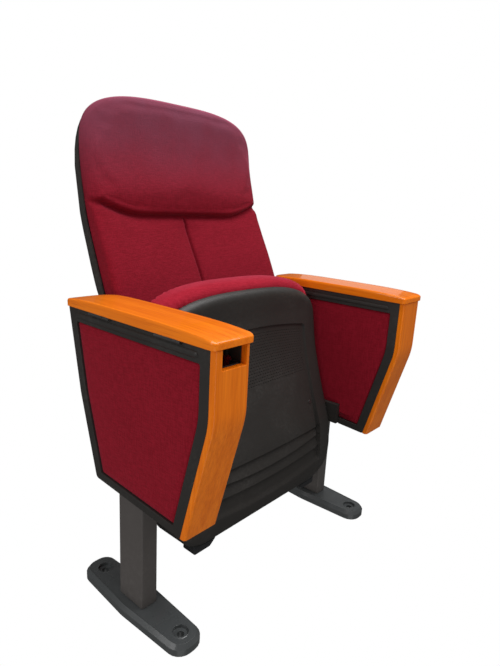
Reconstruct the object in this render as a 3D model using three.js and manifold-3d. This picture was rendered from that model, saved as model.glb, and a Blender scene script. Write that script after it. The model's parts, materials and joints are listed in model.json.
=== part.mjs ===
// Tip up auditorium seat: two floor standards with arm boxes, a seat that tips up about its side
// pivots, and an upholstered back. Millimetres, +Z up, front is -Y, left is -X as seen from the front.
// The seat is modelled tipped up. The left armrest is a hinged lid over a stowed writing tablet.
import * as THREE from "three";
import { mergeVertices } from "three/addons/utils/BufferGeometryUtils.js";
import Module from "manifold-3d";

const wasm = await Module();
wasm.setup();

// Driving dimensions
const standardSpacing = 580;
const overallHeight = 979;
const armrestUnderside = 577;
const postWidth = 36;
const postDepth = 72;
const armBoxWidth = 72.6;
const armBoxFront = 213;
const armBoxRear = 158;
const armBoxFloor = 247;
const armrestWidth = 86;
const pivotForward = 40;
const pivotRise = 30;
const seatSideGap = 12;
const seatAbovePivot = 320;
const seatBelowPivot = 167;
const backSideGap = 11.7;
const backBottom = 455;
const backRecline = THREE.MathUtils.degToRad(22.3);

// Clearances and cutting
const fit = 0.3;
const overrun = 6;
const mergeTolerance = 1e-4;
const standardX = standardSpacing / 2;
const boxInner = standardX - armBoxWidth / 2;
const boxOuter = standardX + armBoxWidth / 2;
const pivotHeight = armBoxFloor + pivotRise;
const seatTop = pivotHeight + seatAbovePivot;
const seatBottom = pivotHeight - seatBelowPivot;
const seatWidth = 2 * (boxInner - seatSideGap);
const backWidth = 2 * (boxInner - backSideGap);

// Segment counts
const arcSteps = 5;
const smallArcSteps = 2;
const smallArcRadius = 8;
const rodSides = 16;
const smallRodSides = 10;

// Solid for joining and cutting
function solid(geometry) {
  const bare = geometry.clone();
  bare.deleteAttribute("normal");
  bare.deleteAttribute("uv");
  const merged = mergeVertices(bare, mergeTolerance);
  return new wasm.Manifold(new wasm.Mesh({
    numProp: 3,
    vertProperties: new Float32Array(merged.attributes.position.array),
    triVerts: new Uint32Array(merged.index.array),
  }));
}

// Geometry of a solid
function geometryOf(manifold) {
  const mesh = manifold.getMesh();
  const geometry = new THREE.BufferGeometry();
  geometry.setAttribute("position", new THREE.BufferAttribute(mesh.vertProperties, mesh.numProp));
  geometry.setIndex(new THREE.BufferAttribute(mesh.triVerts, 1));
  geometry.computeVertexNormals();
  return geometry;
}

function join(...geometries) {
  return geometryOf(geometries.map(solid).reduce((whole, next) => whole.add(next)));
}

function cut(base, ...tools) {
  return geometryOf(tools.map(solid).reduce((whole, tool) => whole.subtract(tool), solid(base)));
}

function common(first, second) {
  return geometryOf(solid(first).intersect(solid(second)));
}

// Box between pairs of limits
function box([x0, x1], [y0, y1], [z0, z1]) {
  const geometry = new THREE.BoxGeometry(x1 - x0, y1 - y0, z1 - z0);
  return geometry.translate((x0 + x1) / 2, (y0 + y1) / 2, (z0 + z1) / 2);
}

// Round bars along each axis
function rodX(radius, [x0, x1], y, z, sides = rodSides) {
  const geometry = new THREE.CylinderGeometry(radius, radius, x1 - x0, sides);
  return geometry.rotateZ(Math.PI / 2).translate((x0 + x1) / 2, y, z);
}

function rodY(radius, [y0, y1], x, z, sides = rodSides) {
  const geometry = new THREE.CylinderGeometry(radius, radius, y1 - y0, sides);
  return geometry.translate(x, (y0 + y1) / 2, z);
}

function rodZ(radius, [z0, z1], x, y, sides = rodSides) {
  const geometry = new THREE.CylinderGeometry(radius, radius, z1 - z0, sides);
  return geometry.rotateX(Math.PI / 2).translate(x, y, (z0 + z1) / 2);
}

// Turns local X, Y, Z into Y, Z, X
function turnToX(geometry) {
  const axes = [new THREE.Vector3(0, 1, 0), new THREE.Vector3(0, 0, 1), new THREE.Vector3(1, 0, 0)];
  return geometry.applyMatrix4(new THREE.Matrix4().makeBasis(...axes));
}

function drawn(points, length) {
  const shape = new THREE.Shape(points.map(([a, b]) => new THREE.Vector2(a, b)));
  return new THREE.ExtrudeGeometry(shape, { depth: length, bevelEnabled: false });
}

// An outline of [y, z] points drawn along X
function alongX(points, [x0, x1]) {
  return turnToX(drawn(points, x1 - x0)).translate(x0, 0, 0);
}

// An outline of [x, z] points drawn along Y
function alongY(points, [y0, y1]) {
  return drawn(points, y1 - y0).rotateX(Math.PI / 2).translate(0, y1, 0);
}

// Closed body through layers of { points, height }, all with the same number of points
function stack(layers) {
  const count = layers[0].points.length;
  const positions = layers.flatMap(({ points, height }) => points.flatMap(([a, b]) => [a, b, height]));
  const faces = [];
  for (let layer = 0; layer + 1 < layers.length; layer += 1) {
    for (let step = 0; step < count; step += 1) {
      const a = layer * count + step;
      const b = layer * count + ((step + 1) % count);
      faces.push(a, b, b + count, a, b + count, a + count);
    }
  }
  const last = (layers.length - 1) * count;
  for (const [offset, flip] of [[0, true], [last, false]]) {
    const { points } = layers[offset / count];
    const contour = points.map(([a, b]) => new THREE.Vector2(a, b));
    for (const [a, b, c] of THREE.ShapeUtils.triangulateShape(contour, [])) {
      faces.push(...(flip ? [c, b, a] : [a, b, c]).map((index) => index + offset));
    }
  }
  const geometry = new THREE.BufferGeometry();
  geometry.setAttribute("position", new THREE.Float32BufferAttribute(positions, 3));
  geometry.setIndex(faces);
  geometry.computeVertexNormals();
  return geometry;
}

// Outline with each corner [a, b, radius] turned into an arc
function rounded(corners) {
  return corners.flatMap(([a, b, radius = 0], index) => {
    if (radius === 0) {
      return [[a, b]];
    }
    const corner = new THREE.Vector2(a, b);
    const before = corners.at(index - 1);
    const after = corners[(index + 1) % corners.length];
    const toBefore = new THREE.Vector2(before[0], before[1]).sub(corner).normalize();
    const toAfter = new THREE.Vector2(after[0], after[1]).sub(corner).normalize();
    const half = Math.acos(THREE.MathUtils.clamp(toBefore.dot(toAfter), -1, 1)) / 2;
    const middle = toBefore.clone().add(toAfter).normalize();
    const centre = corner.clone().addScaledVector(middle, radius / Math.sin(half));
    const reach = radius / Math.tan(half);
    const start = corner.clone().addScaledVector(toBefore, reach).sub(centre);
    const end = corner.clone().addScaledVector(toAfter, reach).sub(centre);
    const sweep = Math.atan2(start.cross(end), start.dot(end));
    const steps = radius < smallArcRadius ? smallArcSteps : arcSteps;
    return Array.from({ length: steps + 1 }, (_, step) => {
      const angle = start.angle() + (sweep * step) / steps;
      return [centre.x + radius * Math.cos(angle), centre.y + radius * Math.sin(angle)];
    });
  });
}

// Outline of straight edges moved inwards, one distance for each edge, counterclockwise corners
function inset(corners, distances, radii) {
  const lines = corners.map(([a, b], index) => {
    const [c, d] = corners[(index + 1) % corners.length];
    const length = Math.hypot(c - a, d - b);
    const along = [(c - a) / length, (d - b) / length];
    const distance = distances[index];
    return { point: [a - along[1] * distance, b + along[0] * distance], along };
  });
  return lines.map((line, index) => {
    const before = lines.at(index - 1);
    const gap = [line.point[0] - before.point[0], line.point[1] - before.point[1]];
    const turn = before.along[0] * line.along[1] - before.along[1] * line.along[0];
    const reach = (gap[0] * line.along[1] - gap[1] * line.along[0]) / turn;
    const a = before.point[0] + before.along[0] * reach;
    const b = before.point[1] + before.along[1] * reach;
    return [a, b, radii[index]];
  });
}

// Closed body between two faces, each a function of u and v
function slab(front, back, columns, rows) {
  const faces = [];
  const grid = (face) => rows.flatMap((v) => columns.flatMap((u) => face(u, v)));
  const positions = [...grid(front), ...grid(back)];
  const width = columns.length;
  const size = width * rows.length;
  for (let row = 0; row + 1 < rows.length; row += 1) {
    for (let column = 0; column + 1 < width; column += 1) {
      const a = row * width + column;
      const b = a + 1;
      const c = a + width;
      const d = c + 1;
      faces.push(a, b, d, a, d, c);
      faces.push(a + size, d + size, b + size, a + size, c + size, d + size);
    }
  }
  const bottom = columns.map((_, column) => column);
  const right = rows.map((_, row) => row * width + width - 1);
  const top = bottom.map((index) => size - width + index).reverse();
  const left = rows.map((_, row) => row * width).reverse();
  for (const edge of [bottom, right, top, left]) {
    for (let step = 0; step + 1 < edge.length; step += 1) {
      const a = edge[step];
      const b = edge[step + 1];
      faces.push(a, a + size, b + size, a, b + size, b);
    }
  }
  const geometry = new THREE.BufferGeometry();
  geometry.setAttribute("position", new THREE.Float32BufferAttribute(positions, 3));
  geometry.setIndex(faces);
  geometry.computeVertexNormals();
  return geometry;
}

// The same shape on the other side of the centre plane
function mirrored(geometry) {
  const flipped = geometry.index ? geometry.clone() : mergeVertices(geometry.clone(), mergeTolerance);
  flipped.scale(-1, 1, 1);
  const { array } = flipped.index;
  for (let face = 0; face < array.length; face += 3) {
    [array[face], array[face + 1]] = [array[face + 1], array[face]];
  }
  flipped.computeVertexNormals();
  return flipped;
}

// Unit superellipse, from 1 at the middle to 0 at the edge
function bulge(share, power) {
  return (1 - Math.min(Math.abs(share), 1) ** power) ** (1 / power);
}

// Finishes
const finishes = {
  wood: { color: 0xc86a14, roughness: 0.25, metalness: 0 },
  fabric: { color: 0x7a1626, roughness: 0.95, metalness: 0 },
  plastic: { color: 0x2b2726, roughness: 0.5, metalness: 0 },
  foot: { color: 0x32373a, roughness: 0.35, metalness: 0.4 },
  paint: { color: 0x484341, roughness: 0.55, metalness: 0.3 },
  steel: { color: 0x9a9c9e, roughness: 0.35, metalness: 0.9 },
  rubber: { color: 0x34383b, roughness: 0.85, metalness: 0 },
  nylon: { color: 0xd8d4c8, roughness: 0.6, metalness: 0 },
  board: { color: 0xa8845a, roughness: 0.8, metalness: 0 },
};

const chair = new THREE.Group();

function add(name, geometry, finish) {
  const mesh = new THREE.Mesh(geometry, new THREE.MeshStandardMaterial(finishes[finish]));
  mesh.name = name;
  chair.add(mesh);
}

// Adds a piece, made for the +X side, to one side
function addOn(side, name, geometry, finish) {
  add(`${side}_${name}`, side === "left" ? mirrored(geometry) : geometry, finish);
}

// Screw, made along +Y from under its head, then turned about X and set in its place
const screwRadius = 2.5;
const screwHeadRadius = 4.5;
const screwHeadHeight = 3;

function screw(length, turn, [x, y, z]) {
  const shank = rodY(screwRadius, [-screwHeadHeight, length], 0, 0, smallRodSides);
  const head = rodY(screwHeadRadius, [-screwHeadHeight, 0], 0, 0, smallRodSides);
  return join(shank, head).rotateX(turn).translate(x, y, z);
}

// Room for its shank, with clearance all round
function screwHole(length, turn, [x, y, z]) {
  const room = rodY(screwRadius + fit, [0, length + fit], 0, 0, smallRodSides);
  return room.rotateX(turn).translate(x, y, z);
}

// Foot: long floor plate with a chamfered edge and two recessed anchor holes
const footHeight = 21;
const footSideHeight = 13;
const footChamfer = 6;
const footFront = 158;
const footRear = 150;
const footHalfWidth = 40;
const footEndHalfWidth = 32;
const footEndRadius = 28;
const footBellyRadius = 180;
const anchorFront = 125;
const anchorRear = 112;
const anchorHoleRadius = 7;
const anchorRecessRadius = 15;
const anchorRecessDepth = 6;

function footLayer(shrink, height) {
  const belly = footHalfWidth - shrink;
  const end = footEndHalfWidth - shrink;
  const front = shrink - footFront;
  const rear = footRear - shrink;
  const radius = footEndRadius - shrink;
  const corners = [
    [standardX - end, front, radius], [standardX + end, front, radius],
    [standardX + belly, 0, footBellyRadius], [standardX + end, rear, radius],
    [standardX - end, rear, radius], [standardX - belly, 0, footBellyRadius],
  ];
  return { points: rounded(corners), height };
}

function foot() {
  const body = stack([footLayer(0, 0), footLayer(0, footSideHeight), footLayer(footChamfer, footHeight)]);
  const holes = [-anchorFront, anchorRear].flatMap((y) => [
    rodZ(anchorHoleRadius, [-overrun, footHeight + overrun], standardX, y),
    rodZ(anchorRecessRadius, [footHeight - anchorRecessDepth, footHeight + overrun], standardX, y),
  ]);
  return cut(body, ...holes);
}

// Post: rectangular tube from the foot into the arm box
const postTop = 335;
const postWall = 2.5;
const postCorner = 4;

function postSection(shrink) {
  const [x, y, radius] = [postWidth / 2 - shrink, postDepth / 2 - shrink, postCorner - shrink];
  return rounded([
    [standardX - x, -y, radius], [standardX + x, -y, radius],
    [standardX + x, y, radius], [standardX - x, y, radius],
  ]);
}

function tube(shrink, ends) {
  return stack(ends.map((height) => ({ points: postSection(shrink), height })));
}

function post() {
  return cut(tube(0, [footHeight, postTop]), tube(postWall, [footHeight - overrun, postTop + overrun]));
}

// Arm box outline, corners [y, z] counterclockwise seen from +X
const boxTop = armrestUnderside - fit;
const boxKinkDrop = 116.5;
const boxKinkHeight = boxTop - boxKinkDrop;
const boxKinkRadius = 150;
const boxFrontFoot = 157;
const boxRearFoot = 79;
const boxRearFloor = 259;
const boxRearBend = 126;
const boxRearBendHeight = 415;
const boxCorner = 9;
const boxRearBendRadius = 200;
const boxSmallCorner = 3;
const boxCorners = [
  [-boxFrontFoot, armBoxFloor], [boxRearFoot, boxRearFloor], [boxRearBend, boxRearBendHeight],
  [armBoxRear, boxTop], [-armBoxFront, boxTop], [-armBoxFront, boxKinkHeight],
];
const boxRadii = [
  boxSmallCorner, boxCorner, boxRearBendRadius, boxSmallCorner, boxSmallCorner, boxKinkRadius,
];
const kinkSlope = (armBoxFront - boxFrontFoot) / (boxKinkHeight - armBoxFloor);
const kinkReach = boxKinkRadius * Math.tan(Math.atan(kinkSlope) / 2);

// Front line of the arm box at a height: upright, an arc, then sloping back
function boxFrontAt(z) {
  if (z > boxKinkHeight + kinkReach) {
    return -armBoxFront;
  }
  if (z < boxKinkHeight - kinkReach * Math.cos(Math.atan(kinkSlope))) {
    return (boxKinkHeight - z) * kinkSlope - armBoxFront;
  }
  const below = boxKinkHeight + kinkReach - z;
  return boxKinkRadius - armBoxFront - Math.sqrt(boxKinkRadius ** 2 - below ** 2);
}

// Seat pivot housing: block on the inner side of the arm box, bolted to the side plate
const housingForward = 48;
const housingBackward = 48;
const housingFront = pivotForward + housingForward;
const housingRear = housingBackward - pivotForward;
const housingBelow = 25;
const housingAbove = 24;
const housingBottom = pivotHeight - housingBelow;
const housingTop = pivotHeight + housingAbove;
const housingProud = 9.7;
const housingInner = boxInner - housingProud;
const housingGap = 0.6;
const plateThickness = 4;
const plateInner = standardX - postWidth / 2 - plateThickness;
const plateOuter = standardX - postWidth / 2;
const housingRoom = box(
  [boxInner - overrun, plateOuter + housingGap],
  [-housingFront - housingGap, housingRear + housingGap],
  [armBoxFloor - overrun, housingTop + housingGap],
);

// Finger notch in the left fascia and through the frame behind it
const fasciaThickness = 12;
const notchInnerMargin = 8.3;
const notchWidth = 51;
const notchDepth = 32;
const frontBar = 20;
const notchRoom = box(
  [boxInner + notchInnerMargin, boxInner + notchInnerMargin + notchWidth],
  [-armBoxFront - fasciaThickness - overrun, -armBoxFront + frontBar + overrun],
  [armrestUnderside - notchDepth, armrestUnderside + overrun],
);

// Butt hinges of the left lid, their barrels just outside the casing
const leafThickness = 1.5;
const leafWidth = 14;
const hingeLength = 60;
const hingeForward = 125;
const hingeBackward = 55;
const hingeMiddles = [-hingeForward, hingeBackward];
const barrelRadius = 2.6;
const barrelBoreRadius = 1.5;
const pinRadius = 1.2;
const barrelStandoff = 0.6;
const hingeX = boxOuter + barrelStandoff + barrelRadius;
const hingeZ = boxTop - barrelRadius;
const knuckleShare = 0.36;
const knuckleHalf = (hingeLength * knuckleShare) / 2;

function leafPockets(low, high) {
  return hingeMiddles.map((y) => box(
    [hingeX - leafWidth - fit, hingeX + overrun],
    [y - hingeLength / 2 - fit, y + hingeLength / 2 + fit],
    [low, high],
  ));
}

function hingeRod(radius, y, half) {
  return rodY(radius, [y - half, y + half], hingeX, hingeZ, smallRodSides);
}

function casingLeaf(y) {
  const ends = [y - hingeLength / 2, y + hingeLength / 2];
  const leaf = box([hingeX - leafWidth, hingeX], ends, [boxTop - leafThickness, boxTop]);
  const middle = box(
    [boxOuter, hingeX + overrun],
    [y - knuckleHalf - fit, y + knuckleHalf + fit],
    [hingeZ - overrun, boxTop + overrun],
  );
  const bore = hingeRod(barrelBoreRadius, y, hingeLength / 2 + overrun);
  return cut(join(leaf, hingeRod(barrelRadius, y, hingeLength / 2)), middle, bore);
}

function lidLeaf(y) {
  const ends = [y - hingeLength / 2, y + hingeLength / 2];
  const top = armrestUnderside + leafThickness;
  const leaf = box([hingeX - leafWidth, hingeX + barrelRadius], ends, [armrestUnderside, top]);
  const web = box(
    [hingeX - barrelRadius, hingeX + barrelRadius], [y - knuckleHalf, y + knuckleHalf], [hingeZ, top],
  );
  const bore = hingeRod(barrelBoreRadius, y, hingeLength / 2 + overrun);
  return cut(join(leaf, web, hingeRod(barrelRadius, y, knuckleHalf)), bore);
}

// Casings: black frames round the fabric windows, with a raised moulding along the top band
const bottomBar = 15;
const rearBar = 19;
const topBar = 26;
const windowCorner = 3;
const barWidths = [bottomBar, rearBar, rearBar, topBar, frontBar, frontBar];
const topEdge = 3;
const noInset = barWidths.map(() => 0);
const windowRadii = [
  windowCorner, windowCorner, boxRearBendRadius, windowCorner, windowCorner, boxKinkRadius,
];
const casingFace = 12;
const casingWall = 6;
const ribRise = 3;
const ribHeight = 11;
const ribFrontGap = 24;
const ribRearGap = 26;
const ribBelowTop = 14;
const ribEndShare = 0.9;
const ribSideShare = 0.3;
const postGap = 0.5;

function rib() {
  const middle = boxTop - ribBelowTop;
  const layer = (shrink, height) => {
    const half = ribHeight / 2 - shrink;
    const [front, rear] = [ribFrontGap - armBoxFront + shrink, armBoxRear - ribRearGap - shrink];
    const [low, high, radius] = [middle - half, middle + half, half * ribEndShare];
    const corners = [[front, low, radius], [rear, low, radius], [rear, high, radius], [front, high, radius]];
    return { points: rounded(corners), height };
  };
  return turnToX(stack([
    layer(0, boxOuter - ribRise),
    layer(0, boxOuter + ribRise * ribSideShare),
    layer(ribRise, boxOuter + ribRise),
  ]));
}

// A shape of the outer face carried over to the inner face of the same arm box
function toInnerFace(geometry) {
  return mirrored(geometry).translate(standardSpacing, 0, 0);
}

const flangeWidth = 44;
const flangeReach = 110;

function casing(side, face) {
  const outer = face === "outer";
  const limits = outer ? [standardX + fit / 2, boxOuter] : [boxInner, standardX - fit / 2];
  const outline = alongX(rounded(inset(boxCorners, noInset, boxRadii)), limits);
  const window = alongX(
    rounded(inset(boxCorners, barWidths, windowRadii)), [limits[0] - overrun, limits[1] + overrun],
  );
  const postRoom = box(
    [standardX - postWidth / 2 - postGap, standardX + postWidth / 2 + postGap],
    [-postDepth / 2 - postGap, postDepth / 2 + postGap],
    [armBoxFloor - overrun, postTop],
  );
  const cavityWalls = barWidths.map((_, edge) => (edge === topEdge ? -overrun : casingWall));
  const cavity = alongX(
    rounded(inset(boxCorners, cavityWalls, windowRadii)), [boxInner + casingFace, boxOuter - casingFace],
  );
  const rooms = [postRoom, cavity];
  if (!outer) {
    rooms.push(housingRoom);
  }
  if (side === "left") {
    rooms.push(notchRoom);
    rooms.push(...(outer ? leafPockets(boxTop - leafThickness - fit, boxTop + overrun) : []));
  }
  const frame = join(cut(outline, window), outer ? rib() : toInnerFace(rib()));
  return cut(frame, ...rooms);
}

// Fabric covered boards in the casing windows
const panelBelowFace = 2.5;
const panelThickness = 9;
const panelEdge = 3;
const panelCrown = 2.2;
const panelCrownInset = 16;

function panelLayer(shrink, height) {
  const radii = windowRadii.map((radius) => Math.max(radius - shrink, fit));
  const insets = barWidths.map((bar) => bar + fit + shrink);
  return { points: rounded(inset(boxCorners, insets, radii)), height };
}

function panel(side, face) {
  const front = boxOuter - panelBelowFace;
  const body = turnToX(stack([
    panelLayer(0, front - panelThickness),
    panelLayer(0, front - panelEdge),
    panelLayer(panelEdge, front),
    panelLayer(panelCrownInset, front + panelCrown),
  ]));
  if (face === "outer") {
    return body;
  }
  const inner = cut(toInnerFace(body), housingRoom, ...panelBoltHoles());
  return side === "left" ? cut(inner, notchRoom) : inner;
}

// Side plate: steel plate welded to the post, with a top flange under the fixed armrest
const plateFloor = 258;
const plateFootFront = 80;
const plateFootRear = 2;
const plateHeel = 20;
const plateHeelHeight = 279;
const plateBack = 100;
const plateBackHeight = 430;
const plateTopRear = 104;
const plateTopFront = 184;
const plateNose = 36;
const plateWaist = 84;
const plateWaistHeight = 380;
const shaftRadius = 8;
const boltRadius = 4;
const boltY = 86;
const boltRise = 23;
const boltSpacing = 54;
const boltHeights = [backBottom + boltRise, backBottom + boltRise + boltSpacing];
const armrestScrewSpacing = 180;
const armrestScrewYs = [-armrestScrewSpacing / 2, armrestScrewSpacing / 2];
const armrestScrewX = plateOuter + (flangeWidth - plateThickness) / 2;
const armrestScrewLength = 14;
const upwards = Math.PI / 2;

function armrestScrewPlace(y) {
  return [armrestScrewX, y, boxTop - plateThickness - fit];
}

function armrestScrewHole(y) {
  return screwHole(armrestScrewLength, upwards, armrestScrewPlace(y));
}

function sidePlate(side) {
  const top = boxTop - plateThickness;
  const through = [plateInner - overrun, plateOuter + overrun];
  const outline = [
    [-plateFootFront, plateFloor], [plateFootRear, plateFloor], [plateHeel, plateHeelHeight],
    [plateBack, plateBackHeight], [plateTopRear, top], [-plateTopFront, top],
    [-plateTopFront, top - plateNose], [-plateWaist, plateWaistHeight],
  ];
  const holes = [
    rodX(shaftRadius + fit, through, -pivotForward, pivotHeight),
    ...boltHeights.map((z) => rodX(boltRadius + fit, through, boltY, z, smallRodSides)),
  ];
  const plate = alongX(outline, [plateInner, plateOuter]);
  if (side === "left") {
    return cut(plate, ...holes);
  }
  const flange = box([plateInner, plateInner + flangeWidth], [-flangeReach, flangeReach], [top, boxTop]);
  return cut(join(plate, flange), ...holes, ...armrestScrewYs.map(armrestScrewHole));
}

// Fascia of lacquered wood, in layers up the front of the arm box
const fasciaEdgeRadius = 5;
const fasciaKinkSteps = 6;

function fascia(side) {
  const kinkHeights = Array.from({ length: fasciaKinkSteps + 1 }, (_, step) => {
    return boxKinkHeight - kinkReach + (2 * kinkReach * step) / fasciaKinkSteps;
  });
  const body = stack([armBoxFloor, ...kinkHeights, boxTop].map((height) => {
    const back = boxFrontAt(height) - fit;
    const front = back - fasciaThickness;
    const corners = [
      [boxInner, back, 0], [boxInner, front, fasciaEdgeRadius],
      [boxOuter, front, fasciaEdgeRadius], [boxOuter, back, 0],
    ];
    return { points: rounded(corners), height };
  }));
  return side === "left" ? cut(body, notchRoom) : body;
}

// Armrest of lacquered wood: square sides, rounded top edges, and both ends dip
const armrestFront = 227;
const armrestRear = 156;
const armrestThickness = 21.5;
const armrestRound = 6;
const armrestSideRound = 2.4;
const armrestFrontRound = 9;
const armrestRearRound = 4;
const armrestEndDip = 6;
const armrestCorner = 10;
const armrestRearInnerCorner = 44;
const armrestEdgeShares = [
  { down: 1, side: 0, end: 0 }, { down: 0.5, side: 0, end: 0.13 }, { down: 0.22, side: 0.15, end: 0.4 },
  { down: 0, side: 1, end: 1 },
];

function armrestLayer({ side, end }, height) {
  const sideways = armrestSideRound * side;
  const inner = standardX - armrestWidth / 2 + sideways;
  const outer = standardX + armrestWidth / 2 - sideways;
  const front = armrestFrontRound * end - armrestFront;
  const rear = armrestRear - armrestRearRound * end;
  const corners = [
    [inner, front, armrestCorner], [outer, front, armrestCorner],
    [outer, rear, armrestCorner], [inner, rear, armrestRearInnerCorner - sideways],
  ];
  return { points: rounded(corners), height };
}

function armrest(side) {
  const body = stack([
    armrestLayer(armrestEdgeShares[0], 0),
    ...armrestEdgeShares.map((shares) => armrestLayer(shares, armrestThickness - armrestRound * shares.down)),
  ]);
  const place = body.attributes.position;
  const middle = (armrestRear - armrestFront) / 2;
  const half = (armrestRear + armrestFront) / 2;
  for (let index = 0; index < place.count; index += 1) {
    const share = (place.getY(index) - middle) / half;
    const dip = (armrestEndDip * share ** 4 * place.getZ(index)) / armrestThickness;
    place.setZ(index, armrestUnderside + place.getZ(index) - dip);
  }
  if (side === "left") {
    return cut(body, ...leafPockets(armrestUnderside - overrun, armrestUnderside + leafThickness + fit));
  }
  return cut(body, ...armrestScrewYs.map(armrestScrewHole));
}

// Seat pivot, from the middle out: shaft, bush, hub, stop cam, all in the housing's pocket
const shaftInner = 181;
const bushWall = 2.2;
const bushBore = shaftRadius + fit;
const bushRadius = bushBore + bushWall;
const hubBore = bushRadius + fit;
const hubRadius = 13.5;
const hubLength = 43.5;
const hubPocketDepth = 8.5;
const hubOuter = housingInner + hubPocketDepth;
const hubInner = hubOuter - hubLength;
const camWidth = 7;
const camInner = hubOuter - camWidth;
const camBore = hubRadius + fit;
const camRadius = 16;
const camLobe = 19;
const pocketGap = 0.7;
const pocketOuter = hubOuter + pocketGap;
const tipRange = THREE.MathUtils.degToRad(87);
const lobeStart = THREE.MathUtils.degToRad(47);
const lobeHalfAngle = THREE.MathUtils.degToRad(15);
const stopGap = THREE.MathUtils.degToRad(1.5);
const sectorSteps = 14;

// Pie slice about the pivot, between two angles from +Y towards +Z
function pivotSector(radius, from, to, limits) {
  const arc = Array.from({ length: sectorSteps + 1 }, (_, step) => {
    const angle = from + ((to - from) * step) / sectorSteps;
    return [radius * Math.cos(angle) - pivotForward, pivotHeight + radius * Math.sin(angle)];
  });
  return alongX([[-pivotForward, pivotHeight], ...arc], limits);
}

function pivotHousing() {
  const block = box(
    [housingInner, plateInner - fit], [-housingFront, housingRear], [housingBottom, housingTop],
  );
  const pocket = [housingInner - overrun, pocketOuter];
  const through = [housingInner - overrun, plateInner + overrun];
  return cut(
    block,
    rodX(camRadius + pocketGap, pocket, -pivotForward, pivotHeight),
    pivotSector(
      camLobe + pocketGap, lobeStart - lobeHalfAngle - stopGap,
      lobeStart + lobeHalfAngle + tipRange + stopGap, pocket,
    ),
    rodX(shaftRadius + fit, through, -pivotForward, pivotHeight),
  );
}

function pivotShaft() {
  return rodX(shaftRadius, [shaftInner, plateOuter - fit], -pivotForward, pivotHeight);
}

function ringX(radius, bore, limits) {
  return cut(
    rodX(radius, limits, -pivotForward, pivotHeight),
    rodX(bore, [limits[0] - overrun, limits[1] + overrun], -pivotForward, pivotHeight),
  );
}

function stopCam() {
  const limits = [camInner, hubOuter];
  const lobe = pivotSector(camLobe, lobeStart - lobeHalfAngle, lobeStart + lobeHalfAngle, limits);
  const disc = join(rodX(camRadius, limits, -pivotForward, pivotHeight), lobe);
  return cut(disc, rodX(camBore, [camInner - overrun, hubOuter + overrun], -pivotForward, pivotHeight));
}

// Return spring: wound round the shaft, inside the seat
const springWire = 1.6;
const springRadius = 10.4;
const springTurns = 4;
const springPitch = 4.4;
const springSteps = 8;
const springSides = 5;
const springGap = 0.6;

class Helix extends THREE.Curve {
  getPoint(share, target = new THREE.Vector3()) {
    const angle = share * springTurns * Math.PI * 2;
    return target.set(
      hubInner - springGap - springWire - share * springTurns * springPitch,
      springRadius * Math.cos(angle) - pivotForward,
      pivotHeight + springRadius * Math.sin(angle),
    );
  }
}

function returnSpring() {
  const wire = new THREE.Shape(Array.from({ length: springSides }, (_, side) => {
    const angle = (side / springSides) * Math.PI * 2;
    return new THREE.Vector2(springWire * Math.cos(angle), springWire * Math.sin(angle));
  }));
  return new THREE.ExtrudeGeometry(wire, { steps: springTurns * springSteps, extrudePath: new Helix() });
}

// Seat shell: line of its underside, tipped up, as [height share, forward share of the belly]
const seatLength = seatTop - seatBottom;
const seatBelly = 78;
const seatRim = 14;
const shellWall = 3.5;
const bellyShares = [
  [0, 0.81], [0.082, 0.95], [0.185, 1], [0.247, 0.975], [0.32, 0.9], [0.39, 0.755],
  [0.495, 0.525], [0.6, 0.32], [0.71, 0.14], [0.885, -0.03], [0.955, -0.09], [1, -0.14],
];
const bellySteps = 26;
const shellLine = new THREE.SplineCurve(bellyShares.map(([up, forward]) => {
  return new THREE.Vector2(-seatBelly * forward, seatBottom + seatLength * up);
})).getPoints(bellySteps).map(({ x, y }) => [x, y]);

// Y of the shell's underside at a height
function shellFaceAt(z) {
  const next = shellLine.findIndex(([, height]) => height >= z);
  const [[y0, z0], [y1, z1]] = [shellLine[next - 1], shellLine[next]];
  return y0 + ((y1 - y0) * (z - z0)) / (z1 - z0);
}

// Outline [x, z] with an arched top and round lower corners
const archSteps = 22;

function arched({ half, low, shoulder, top, power, corner }) {
  const arch = Array.from({ length: archSteps + 1 }, (_, step) => {
    const angle = (step / archSteps) * Math.PI;
    const reach = Math.abs(Math.cos(angle)) ** (2 / power) * Math.sign(Math.cos(angle));
    return [half * reach, shoulder + (top - shoulder) * Math.sin(angle) ** (2 / power)];
  });
  return rounded([[-half, low, corner], [half, low, corner], ...arch]);
}

const seatArchRise = 94;
const seatShoulder = seatTop - seatArchRise;
const seatArchPower = 2.7;
const seatCorner = 75;

function shellOutline(shrink) {
  return arched({
    half: seatWidth / 2 - shrink, low: seatBottom + shrink, shoulder: seatShoulder,
    top: seatTop - shrink, power: seatArchPower, corner: seatCorner - shrink,
  });
}

// Field on the underside: sunk inside the rim, three curved steps across its lower part
const fieldSideMargin = 47.7;
const fieldHalf = seatWidth / 2 - fieldSideMargin;
const fieldTopMargin = 82;
const fieldTop = seatTop - fieldTopMargin;
const fieldTopDrop = 15;
const fieldBottomMargin = 39.6;
const fieldBottom = seatBottom + fieldBottomMargin;
const fieldBottomRise = 18.3;
const fieldDepth = 4;
const fieldSteps = 10;
const stepWidth = 14;
const stepBelowFace = 1;
const stepShares = [{ at: 0.293, rise: 0.27 }, { at: 0.228, rise: 0.9 }, { at: 0.174, rise: 0.66 }];

// Strip across the field between two arcs, each { height, rise } at the middle and towards the sides
function fieldStrip(low, high, half) {
  const arc = ({ height, rise }) => Array.from({ length: fieldSteps + 1 }, (_, step) => {
    const share = (2 * step) / fieldSteps - 1;
    return [half * share, height + rise * share ** 2];
  });
  const limits = [-seatBelly - overrun, seatRim];
  return alongY([...arc(low), ...arc(high).reverse()], limits);
}

// Between two lines that follow the underside at two depths
function shellSkin(from, to) {
  return alongX([
    ...shellLine.map(([y, z]) => [y + to, z]), ...shellLine.map(([y, z]) => [y + from, z]).reverse(),
  ], [-seatWidth / 2, seatWidth / 2]);
}

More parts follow.
